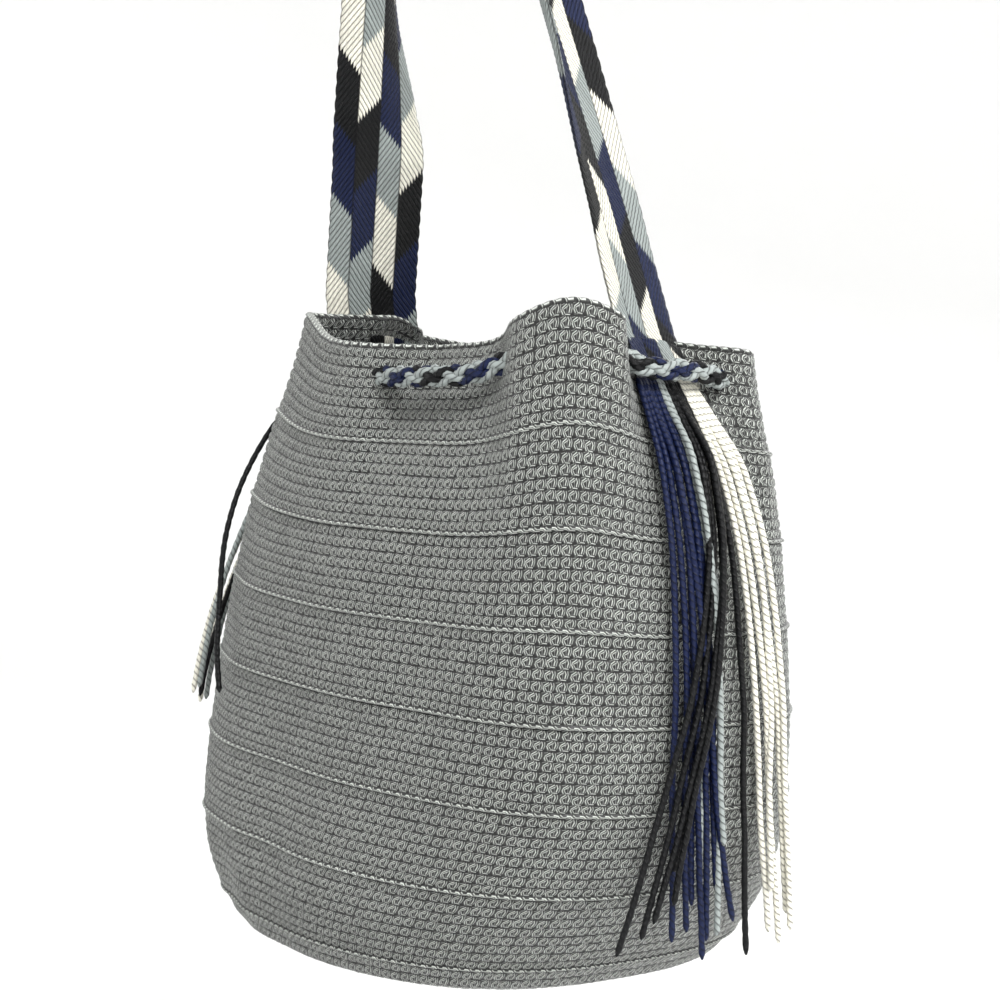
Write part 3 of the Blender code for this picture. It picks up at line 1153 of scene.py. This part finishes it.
    def build_inside(self) -> None:
        """Build the inner face of the wall and base."""
        count = self.inside_columns
        bottom = self.wall.outline[-1][0]
        across = np.arange(count + 1) / count * self.stitches
        rows, values = [], []
        heading = 0
        for ridge, top, low in self.row_plan():
            steps = 1 if ridge else 2
            for step in range(steps):
                share = step / steps
                depth = (top + (low - top) * share) * bottom
                turn = self.drift * heading * count / self.stitches
                degrees = self.ring_angles(depth, count, turn)
                rows.append(self.wall.place(degrees, np.full(count, depth), -self.thickness))
                values.append(heading + share)
            if not ridge:
                heading += 1
        values.append(float(heading))
        rows.append(self.wall.place(degrees, np.full(count, bottom), -self.thickness))
        edge = rows[-1]
        middle = edge.mean(axis=0)
        for step in range(1, self.inside_rings + 1):
            rows.append(middle + (edge - middle) * (1.0 - step / self.inside_rings))
            values.append(heading + self.inside_ring_rows * step)
        grid = np.array(rows)[:, ::-1]
        parts = MeshParts()
        parts.add_grid(grid, grid_places(np.array(values), len(grid), across[::-1]), True, 0)
        fit_out(
            parts.to_object("inner_face"), ("bag_body",), "bag_yarn", self.finishes.crochet
        )


# --------------------------------------------------------------------------- strap


@dataclass(frozen=True)
class StrapWeave:
    """Sizes of the oblique weave, shared by the strap's mesh and its finish."""

    columns: int = 4
    column_width: float = 11.5 * MM
    strand_pitch: float = 3.5 * MM
    strand_rise: float = 17.0 * MM      # along the strap over one column
    block_rise: float = 13.0 * MM
    block: float = 36.0 * MM
    ply_pitch: float = 2.6 * MM
    starts: tuple = (0.0, 3.0, 1.0, 2.0)    # each column's first colour


@dataclass
class Strap:
    """The flat woven strap from rim to rim, over the hook."""

    wall: Wall
    finishes: Finishes
    width: float = 0.046
    thickness: float = 0.003
    overlap: float = 0.018
    half_angle: float = 15.3
    bend: float = 0.010
    sewn_gap: float = 0.0023
    settle: float = 0.014
    stations: int = 1180
    columns: int = 24
    edge_scallop: float = 0.5 * MM
    # At shares of a leg from the top: turn of the outward side in degrees, and the
    # section's curl in radians.
    near_set: tuple = (
        (0.0, 0.0, 1.0), (0.30, 20.0, 1.0), (0.60, 26.3, 0.85), (0.69, 24.5, 0.7),
        (0.79, 19.5, 0.4), (0.90, 16.0, 0.15), (1.0, 14.0, 0.08),
    )
    far_set: tuple = (
        (0.0, 0.0, 1.0), (0.25, 8.0, 1.0), (0.45, 15.0, 1.1), (0.60, 18.0, 1.15),
        (0.645, 9.0, 0.95), (0.69, -2.0, 0.7), (0.74, -14.0, 0.45), (0.79, -38.0, 0.2),
        (0.93, -40.0, 0.1), (1.0, -36.0, 0.05),
    )
    # How far a leg bows towards -Y and -X, at shares of the leg from the top
    near_bow: tuple = ((0.0, 0.0), (0.35, 0.006), (0.62, 0.008), (0.85, 0.002), (1.0, 0.0))
    far_bow: tuple = ((0.0, 0.0), (0.60, 0.002), (0.80, 0.006), (0.94, 0.010), (1.0, 0.008))

    def centre(self, length: np.ndarray, near: bool) -> tuple[np.ndarray, np.ndarray, float]:
        """Return a leg's centre line and outward direction, and its free length.

        Args:
            length: distances down from the top.
            near: whether it is the leg at +X.

        Returns:
            Points, unit directions away from the hook, and the length from the top to
            the rim.
        """
        sign = 1.0 if near else -1.0
        bend = self.bend + self.thickness / 2
        foot = self.wall.place(
            0.0 if near else 180.0, 0.0, self.sewn_gap + self.thickness / 2, soft=False
        )
        reach = np.array([abs(foot[0]), foot[2] + self.bend])
        span = math.sqrt(reach @ reach - bend ** 2)
        swing = math.atan2(reach[0], -reach[1]) - math.atan2(bend, span)
        turn = math.pi / 2 - swing
        angle = np.where(length < turn * bend, math.pi / 2 - length / bend, swing)
        run = np.maximum(length - turn * bend, 0.0)
        out = np.stack([sign * np.cos(angle), np.zeros_like(angle), np.sin(angle)], -1)
        down = np.array([sign * math.sin(swing), 0.0, -math.cos(swing)])
        points = np.array([0.0, 0.0, -self.bend]) + bend * out + run[:, None] * down
        points[:, 1] = foot[1] * np.minimum(1.0, run / span)
        return points, out, turn * bend + span

    def surface(self, along: np.ndarray, across: np.ndarray) -> np.ndarray:
        """Return the strap's middle surface.

        Args:
            along: -1 at the far end to 1 at the near end.
            across: -1 to 1.

        Returns:
            Points, along by across by 3.
        """
        rows = []
        for near in (False, True):
            part = along[along < 0.0] if not near else along[along >= 0.0]
            _points, _out, free = self.centre(np.array([0.0]), near)
            length = np.abs(part) * (free + self.overlap)
            points, out, _free = self.centre(length, near)
            share = np.clip(length / free, 0.0, 1.0)
            table = np.array(self.near_set if near else self.far_set)
            turn = np.radians(np.interp(share, table[:, 0], table[:, 1]))
            curl = np.interp(share, table[:, 0], table[:, 2])[:, None]
            side = np.stack([-np.sin(turn), np.cos(turn), np.zeros_like(turn)], -1)
            level = np.cross(side, points[-1] - points[0])
            level /= np.linalg.norm(level, axis=1)[:, None]
            level *= np.sign((level * out).sum(1))[:, None]
            level = np.where((length < 0.03)[:, None], out, level)
            bow = np.array(self.near_bow if near else self.far_bow)
            shift = np.interp(share, bow[:, 0], bow[:, 1])
            points = points - shift[:, None] * np.array([0.643, 0.766, 0.0])
            half = self.width / 2
            reach = np.sin(curl * across) / curl * half
            lift = (1.0 - np.cos(curl * across)) / curl * half
            free_points = (
                points[:, None, :] + side[:, None, :] * reach[..., None]
                + level[:, None, :] * lift[..., None]
            )
            sign = 1.0 if near else -1.0
            degrees = (0.0 if near else 180.0) + across[None, :] * self.half_angle * sign
            drop = np.maximum(length - free, 0.0)[:, None]
            sewn = self.wall.place(degrees, drop, self.sewn_gap + self.thickness / 2)
            sewn[..., 2] = np.where(
                length[:, None] < free, free_points[..., 2], sewn[..., 2]
            )
            blend = smooth_step((free - length) / self.settle)[:, None, None]
            rows.append(sewn + (free_points - sewn) * blend)
        return np.concatenate(rows)

    def build(self) -> bpy.types.Object:
        """Build the strap as one closed band.

        Returns:
            The piece. Its length is kept in the strap.
        """
        weave = StrapWeave()
        along = np.linspace(-1.0, 1.0, self.stations)
        across = np.linspace(-1.0, 1.0, self.columns + 1)
        middle = self.surface(along, across)
        tangent = np.gradient(middle, axis=0)
        cross = np.gradient(middle, axis=1)
        normal = np.cross(cross, tangent)
        normal /= np.linalg.norm(normal, axis=2)[..., None]
        if normal[-1, self.columns // 2, 0] < 0.0:
            normal = -normal
        run = run_along(middle[:, self.columns // 2])
        self.length = run[-1]
        up = self.length - self.overlap - run      # from the near rim
        columns = (across + 1.0) / 2.0 * weave.columns
        local = columns - np.floor(np.minimum(columns, weave.columns - 1e-6))
        lean = np.where(np.floor(np.minimum(columns, weave.columns - 1e-6)) % 2 == 0, 1.0, -1.0)
        strand = (up[:, None] + (local * lean)[None, :] * weave.strand_rise) / weave.strand_pitch
        relief = 0.35 * MM * (np.abs(np.sin(math.pi * strand)) - 0.5)
        seam = 0.25 * MM * smooth_step((np.abs(local - 0.5) - 0.38) / 0.12)[None, :]
        scallop = self.edge_scallop * np.abs(np.sin(math.pi * up / (2 * weave.strand_pitch)))
        edge = np.sign(across)[None, :] * (np.abs(across)[None, :] > 0.99)
        side = cross / np.linalg.norm(cross, axis=2)[..., None]
        middle = middle + side * (edge * scallop[:, None])[..., None]
        half = self.thickness / 2 - 0.3 * MM
        thin = np.clip((1.0 - np.abs(across)) / 0.10, 0.35, 1.0)[None, :]
        grow = ((half + relief - seam) * thin)[..., None]
        outer, inner = middle + normal * grow, middle - normal * grow
        ring = np.concatenate([outer, inner[:, ::-1]], axis=1)
        places = np.concatenate([columns, columns[::-1], columns[:1]])
        table = np.zeros((self.stations - 1, 2, len(places), 2))
        table[..., 0] = np.clip(places, 0.001, weave.columns - 0.001)
        table[:, 0, :, 1] = up[:-1, None]
        table[:, 1, :, 1] = up[1:, None]
        parts = MeshParts()
        parts.add_grid(ring, table, True, 0)
        for row, turned in ((0, False), (-1, True)):
            cap = np.stack([outer[row], inner[row]])
            if turned:
                cap = cap[::-1]
            flat = np.zeros((1, 2, self.columns + 1, 2))
            flat[..., 0] = np.clip(columns, 0.001, weave.columns - 0.001)
            flat[..., 1] = up[row]
            parts.add_grid(cap, flat, False, 0)
        piece = parts.to_object("woven_strap")
        weld = piece.modifiers.new("weld", "WELD")
        weld.merge_threshold = 0.01 * MM
        return fit_out(piece, ("strap",), "strap_weave", self.finishes.strap)


# --------------------------------------------------------------------------- yarns


@dataclass
class YarnShop:
    """Makes round yarns and braids along lines."""

    sides: int = 8
    spacing: float = 2.4 * MM
    ply_turn: float = 6.8 * MM
    ply_relief: float = 0.10            # of a yarn's radius
    strands: int = 8                    # in a braid
    strand_size: float = 0.36           # of the braid's radius
    strand_turn: float = 9.0 * MM
    strand_weave: float = 0.16          # how far a strand moves in and out, of that radius

    def add_yarn(
        self, parts: MeshParts, line: np.ndarray, radius: float, finish: int = 0
    ) -> None:
        """Add one yarn along a line, with its two plies showing.

        Args:
            parts: the mesh that it joins.
            line: points along its centre.
            radius: its outer radius.
            finish: material number.
        """
        line = even_route(line, self.spacing)
        first, second = frames_along(line)
        run = run_along(line)
        turn = np.arange(self.sides) / self.sides
        angle = 2.0 * math.pi * turn[None, :]
        twist = np.cos(2.0 * (angle + math.pi * run[:, None] / self.ply_turn))
        size = radius * (0.92 + self.ply_relief * twist)
        size[0] *= 0.05
        size[-1] *= 0.35
        ring = (
            line[:, None, :]
            + (size * np.cos(angle))[..., None] * first[:, None, :]
            + (size * np.sin(angle))[..., None] * second[:, None, :]
        )
        around = np.arange(self.sides + 1) / self.sides
        parts.add_grid(ring, grid_places(run, len(line), around), True, finish)

    def add_braid(
        self, parts: MeshParts, line: np.ndarray, radius: float, turn_length: float,
        spacing: float,
    ) -> None:
        """Add a round braid of eight strands, four each way.

        Args:
            parts: the mesh that it joins, whose materials are four yarns.
            line: points along its centre.
            radius: the braid's outer radius.
            turn_length: length in which a strand goes once round.
            spacing: distance between stations.
        """
        line = even_route(line, spacing)
        first, second = frames_along(line)
        run = run_along(line)
        phase = 2.0 * math.pi * run / turn_length
        thick = radius * self.strand_size
        for number in range(self.strands):
            way = 1.0 if number % 2 == 0 else -1.0
            angle = way * phase + number * 2.0 * math.pi / self.strands
            over = way * np.cos(self.strands / 2 * phase - math.pi / 2)
            out = radius - thick + self.strand_weave * radius * (over - 0.5)
            centre = (
                line + (out * np.cos(angle))[:, None] * first
                + (out * np.sin(angle))[:, None] * second
            )
            near, far = frames_along(centre)
            turn = 2.0 * math.pi * np.arange(self.sides)[None, :] / self.sides
            spin = turn + 2.0 * math.pi * run[:, None] / self.strand_turn
            size = thick * (1.0 + self.ply_relief * np.cos(3.0 * spin))
            size[0] *= 0.3
            size[-1] *= 0.3
            ring = (
                centre[:, None, :] + (size * np.cos(turn))[..., None] * near[:, None, :]
                + (size * np.sin(turn))[..., None] * far[:, None, :]
            )
            around = np.arange(self.sides + 1) / self.sides * 1.5
            parts.add_grid(ring, grid_places(run, len(line), around), True, number // 2)


@dataclass
class Fringe:
    """The yarn ends that hang from one end of the strap, in four colours."""

    wall: Wall
    finishes: Finishes
    shop: YarnShop
    near: bool
    radius: float = 1.55 * MM
    start_depth: float = 0.0195
    raised: float = 0.013               # the rim stands higher at the strap's ends
    lowest_wall: float = 0.195          # depth below which a yarn hangs clear of the wall
    clearance: float = 2.2 * MM
    wander: float = 2.2                 # degrees, at a yarn's free end
    points: int = 15
    # For each yarn: (start degrees, end degrees, length, how far it stands off)
    near_yarns: dict = field(default_factory=lambda: {
        Yarn.NAVY: (
            (-16.0, -12.0, 0.247, 3.0), (-14.5, -9.0, 0.243, 4.5), (-13.0, -4.5, 0.256, 6.0),
            (-11.5, -7.0, 0.232, 3.0), (-10.0, -3.0, 0.248, 5.5), (-13.5, 2.5, 0.240, 8.0),
            (-8.8, -1.0, 0.226, 4.0),
        ),
        Yarn.GREY: ((-7.5, -5.0, 0.230, 4.0), (-6.2, 0.0, 0.246, 6.0), (-8.0, -2.0, 0.205, 9.0)),
        Yarn.BLACK: (
            (-4.8, -25.0, 0.250, 9.0), (-3.4, -21.0, 0.243, 8.0), (-2.0, -18.0, 0.236, 11.0),
            (-0.6, -12.0, 0.215, 6.0), (1.0, 9.5, 0.258, 3.0), (-2.8, -15.0, 0.228, 12.0),
        ),
        Yarn.IVORY: (
            (3.0, 16.0, 0.250, 3.0), (4.6, 19.0, 0.256, 4.5), (6.2, 22.0, 0.243, 6.0),
            (7.8, 14.0, 0.230, 6.5), (9.0, 20.5, 0.250, 8.0),
        ),
    })
    far_yarns: dict = field(default_factory=lambda: {
        Yarn.NAVY: (
            (191.0, 200.0, 0.190, 4.0), (193.0, 206.0, 0.180, 5.0), (189.5, 196.0, 0.195, 6.0),
        ),
        Yarn.GREY: (
            (186.0, 212.0, 0.185, 7.0), (184.0, 190.0, 0.190, 5.0), (187.5, 217.0, 0.177, 9.0),
        ),
        Yarn.BLACK: (
            (180.0, 215.0, 0.182, 8.0), (178.0, 182.0, 0.188, 5.0), (193.0, 247.0, 0.166, 5.0),
        ),
        Yarn.IVORY: (
            (183.0, 213.5, 0.186, 10.0), (182.0, 217.5, 0.180, 11.0), (170.0, 174.0, 0.190, 5.0),
            (168.5, 170.0, 0.185, 5.0),
        ),
    })

    def line(self, yarn: tuple, chance: np.random.Generator) -> np.ndarray:
        """Return one yarn's centre line.

        Args:
            yarn: start and end degrees, length, and millimetres off the wall.
            chance: the source of small wanderings.

        Returns:
            Points from the strap's end down.
        """
        start, end, length, off = yarn
        share = np.linspace(0.0, 1.0, self.points)
        depth = self.start_depth + length * share
        wander = chance.normal(0.0, 0.35, self.points)
        wander = np.convolve(np.pad(wander, 2, mode="edge"), np.ones(5) / 5.0, "valid")
        spread = share ** (1.7 if self.near else 1.0)
        degrees = start + (end - start) * spread + wander * share * self.wander
        hang = np.minimum(depth, self.lowest_wall)
        lift = off * MM * smooth_step(share * 6.0) + self.clearance
        lift = lift + chance.normal(0.0, 0.6 * MM) * share
        points = self.wall.place(degrees, hang, lift)
        points[:, 2] = self.wall.rim_z - depth + self.raised
        return smooth_route(points, 120)

    def build(self) -> list[bpy.types.Object]:
        """Build one piece for each colour.

        Returns:
            The pieces.
        """
        made = []
        end = "near" if self.near else "far"
        chance = np.random.default_rng(41 if self.near else 42)
        yarns = self.near_yarns if self.near else self.far_yarns
        for tone, rows in yarns.items():
            parts = MeshParts()
            for yarn in rows:
                self.shop.add_yarn(parts, self.line(yarn, chance), self.radius)
            colour = tone.name.lower()
            piece = parts.to_object(f"{end}_yarns_{colour}")
            made.append(fit_out(
                piece, (f"{end}_fringe_{colour}",), f"{colour}_yarn", self.finishes.yarn[tone]
            ))
        return made


@dataclass
class Drawstring:
    """The braided cord round the mouth, its two hanging ends and their tassels."""

    wall: Wall
    finishes: Finishes
    shop: YarnShop
    radius: float = 0.0050
    tail_radius: float = 0.0045
    drop: float = 0.013
    tail_eyelets: tuple = (110.0, 136.0)
    tail_turn: float = 3.0
    tail_gap: float = 0.5
    tail_bend: float = 0.0085
    tail_lie: tuple = (
        (0.0155, 4.5, 0.0098), (0.0270, 4.4, 0.0086), (0.0450, 4.2, 0.0085),
        (0.0680, 3.9, 0.0100), (0.0920, 3.4, 0.0127), (0.1150, 3.0, 0.0150),
    )
    turn_length: float = 0.050
    spacing: float = 1.5 * MM
    # A tassel's knot, as loops of yarn: (drop, radius), in millimetres
    knot: tuple = ((4.2, 4.6), (7.4, 5.2), (10.4, 4.4))
    knot_yarn: float = 3.0 * MM
    brush_yarns: int = 15
    brush_yarn: float = 1.25 * MM

    def cord_point(self, degrees: np.ndarray) -> np.ndarray:
        """Return points on the cord's centre line round the mouth."""
        return self.wall.place(degrees, self.drop, folded=False)

    def braid_finishes(self) -> tuple[bpy.types.Material, ...]:
        """Return the finishes of the braid's strands, for each pair of them."""
        yarn = self.finishes.yarn
        return (yarn[Yarn.NAVY], yarn[Yarn.GREY], yarn[Yarn.BLACK], yarn[Yarn.GREY])

    def build(self) -> None:
        """Build the cord and both ends."""
        first, last = self.tail_eyelets
        start = last - self.tail_turn
        sweep = 360.0 - (last - first) + 2 * self.tail_turn
        ring = self.cord_point(start + sweep * np.linspace(0.0, 1.0, 400))
        parts = MeshParts()
        self.shop.add_braid(parts, ring, self.radius, self.turn_length, self.spacing)
        piece = parts.to_object("braided_cord")
        fit_out(piece, ("drawstring",), "braid", *self.braid_finishes())
        for side, begin, turn in (("left", first, 1.0), ("right", last, -1.0)):
            self.build_tail(side, begin + turn * self.tail_turn, turn)

    def build_tail(self, side: str, begin: float, turn: float) -> None:
        """Build one hanging end.

        Args:
            side: left or right.
            begin: degrees where it starts.
            turn: which way it goes round.
        """
        exit_point = self.cord_point(begin + turn * self.tail_gap)
        onward = self.cord_point(begin + turn * (self.tail_gap + 1.0)) - exit_point
        onward /= np.linalg.norm(onward)
        down = np.array((0.0, 0.0, -1.0))
        route = []
        for angle in np.linspace(0.0, math.pi / 2, 4):
            bent = onward * math.sin(angle) + down * (1.0 - math.cos(angle))
            route.append(exit_point + self.tail_bend * bent)
        for drop, swing, lie in self.tail_lie:
            route.append(self.wall.place(begin + turn * swing, self.drop + drop, lie))
        points = smooth_route(np.array(route), 60)
        parts = MeshParts()
        self.shop.add_braid(
            parts, points, self.tail_radius, self.turn_length * 0.9, self.spacing
        )
        piece = parts.to_object(f"cord_end_{side}")
        fit_out(piece, (f"drawstring_tail_{side}",), "braid", *self.braid_finishes())
        tassel = self.build_tassel(side, points[-1])

    def build_tassel(self, side: str, top: np.ndarray) -> bpy.types.Object:
        """Build the knot and the brush below it.

        Args:
            side: left or right.
            top: the cord's lower end.

        Returns:
            The piece.
        """
        parts = MeshParts()
        for layer, (drop, wide) in enumerate(self.knot):
            angle = np.linspace(0.0, 2.0 * math.pi, 40)
            line = np.stack([
                top[0] + wide * MM * np.cos(angle + layer),
                top[1] + wide * MM * np.sin(angle + layer),
                top[2] - drop * MM + 1.3 * MM * np.sin(angle * 2.0 + layer),
            ], axis=1)
            self.shop.add_yarn(parts, line, self.knot_yarn, finish=layer % 2)
        for number in range(self.brush_yarns):
            ring = 0 if number < 5 else 1
            spread = (0.9 if ring == 0 else 2.7) * MM
            angle = 2.0 * math.pi * (number * 0.382)
            share = np.linspace(0.0, 1.0, 8)
            reach = spread + 2.6 * MM * share * (0.4 + ring * 0.6)
            line = np.stack([
                top[0] + reach * math.cos(angle), top[1] + reach * math.sin(angle),
                top[2] - (9.0 + 30.0 * share * (0.94 + 0.06 * math.sin(number * 2.1))) * MM,
            ], axis=1)
            self.shop.add_yarn(parts, line, self.brush_yarn, finish=number % 4)
        piece = parts.to_object(f"tassel_{side}")
        return fit_out(piece, (f"tail_tassel_{side}",), "braid", *self.braid_finishes())


# --------------------------------------------------------------------------- studio


@dataclass
class Studio:
    """The pale floor, the soft lights and the camera."""

    finishes: Finishes
    aim: tuple = (0.0225, 0.069, -0.514)
    azimuth: float = 51.0
    elevation: float = 4.1
    roll: float = 2.5
    distance: float = 1.130
    lens: float = 82.6
    floor_z: float = -0.95
    floor_radius: float = 3.2
    floor_sweep: float = 1.0
    backdrop: float = 3.4
    floor_sides: int = 96
    room_light: float = 0.50
    # Each light: (place, size, power)
    lights: tuple = (
        ((1.9, -0.6, 1.5), 0.8, 70.0),
        ((2.2, 0.9, 0.7), 1.4, 22.0),
        ((-1.3, -1.5, 0.6), 1.6, 6.0),
        ((-0.9, 1.9, 1.0), 1.8, 22.0),
    )

    def build(self) -> None:
        """Build the floor, lights and camera."""
        self.build_floor()
        for number, (place, size, power) in enumerate(self.lights):
            data = bpy.data.lights.new(f"softbox_{number + 1}", "AREA")
            data.shape = "DISK"
            data.size = size
            data.energy = power
            light = bpy.data.objects.new(data.name, data)
            bpy.context.scene.collection.objects.link(light)
            aim = Vector(self.aim) - Vector(place)
            light.location = place
            light.rotation_euler = aim.to_track_quat("-Z", "Y").to_euler()
        world = bpy.data.worlds.new("studio")
        bpy.context.scene.world = world
        world.use_nodes = True
        around = world.node_tree.nodes["Background"]
        around.inputs["Color"].default_value = (1.0, 1.0, 1.0, 1.0)
        around.inputs["Strength"].default_value = self.room_light
        self.build_camera()

    def build_floor(self) -> None:
        """Build a wide floor that sweeps up into a round wall."""
        flat = self.floor_radius - self.floor_sweep
        profile = [(0.0, 0.0), (1.0, 0.0), (flat, 0.0)]
        for angle in np.linspace(0.0, math.pi / 2, 9)[1:]:
            profile.append((
                flat + self.floor_sweep * math.sin(angle),
                self.floor_sweep * (1.0 - math.cos(angle)),
            ))
        profile.append((self.floor_radius, self.backdrop))
        angle = np.linspace(0.0, 2.0 * math.pi, self.floor_sides + 1)[:-1]
        rows = [
            np.stack([
                max(reach, 0.001) * np.cos(angle), max(reach, 0.001) * np.sin(angle),
                np.full_like(angle, self.floor_z + height),
            ], axis=1)
            for reach, height in profile
        ]
        parts = MeshParts()
        across = np.arange(self.floor_sides + 1) / self.floor_sides
        places = grid_places(np.arange(len(rows)) * 1.0, len(rows), across)
        parts.add_grid(np.array(rows), places, True, 0)
        floor = parts.to_object("studio_floor")
        floor.data.materials.append(self.finishes.floor)

    def build_camera(self) -> None:
        """Aim the camera at the bag."""
        data = bpy.data.cameras.new("camera")
        data.lens = self.lens
        data.sensor_width = 36.0
        camera = bpy.data.objects.new("camera", data)
        bpy.context.scene.collection.objects.link(camera)
        turn, rise = math.radians(self.azimuth), math.radians(self.elevation)
        away = Vector((
            math.sin(turn) * math.cos(rise), -math.cos(turn) * math.cos(rise), math.sin(rise)
        ))
        right = Vector((math.cos(turn), math.sin(turn), 0.0))
        up = away.cross(right)
        tilt = math.radians(self.roll)
        level = right * math.cos(tilt) + up * math.sin(tilt)
        upright = up * math.cos(tilt) - right * math.sin(tilt)
        place = Vector(self.aim) + away * self.distance
        camera.matrix_world = Matrix((
            (level.x, upright.x, away.x, place.x),
            (level.y, upright.y, away.y, place.y),
            (level.z, upright.z, away.z, place.z),
            (0.0, 0.0, 0.0, 1.0),
        ))
        bpy.context.scene.camera = camera


def main() -> None:
    """Build the whole scene in order."""
    logging.basicConfig(level=logging.INFO, format="%(name)s: %(message)s")
    bpy.context.scene.view_settings.view_transform = "Standard"
    finishes = Finishes()
    Studio(finishes).build()
    wall = Wall()
    shop = YarnShop()
    Drawstring(wall, finishes, shop).build()
    BagBody(wall, finishes).build()
    strap = Strap(wall, finishes)
    band = strap.build()
    yarns = [
        piece for near in (True, False) for piece in Fringe(wall, finishes, shop, near).build()
    ]


if __name__ == "__main__":
    main()
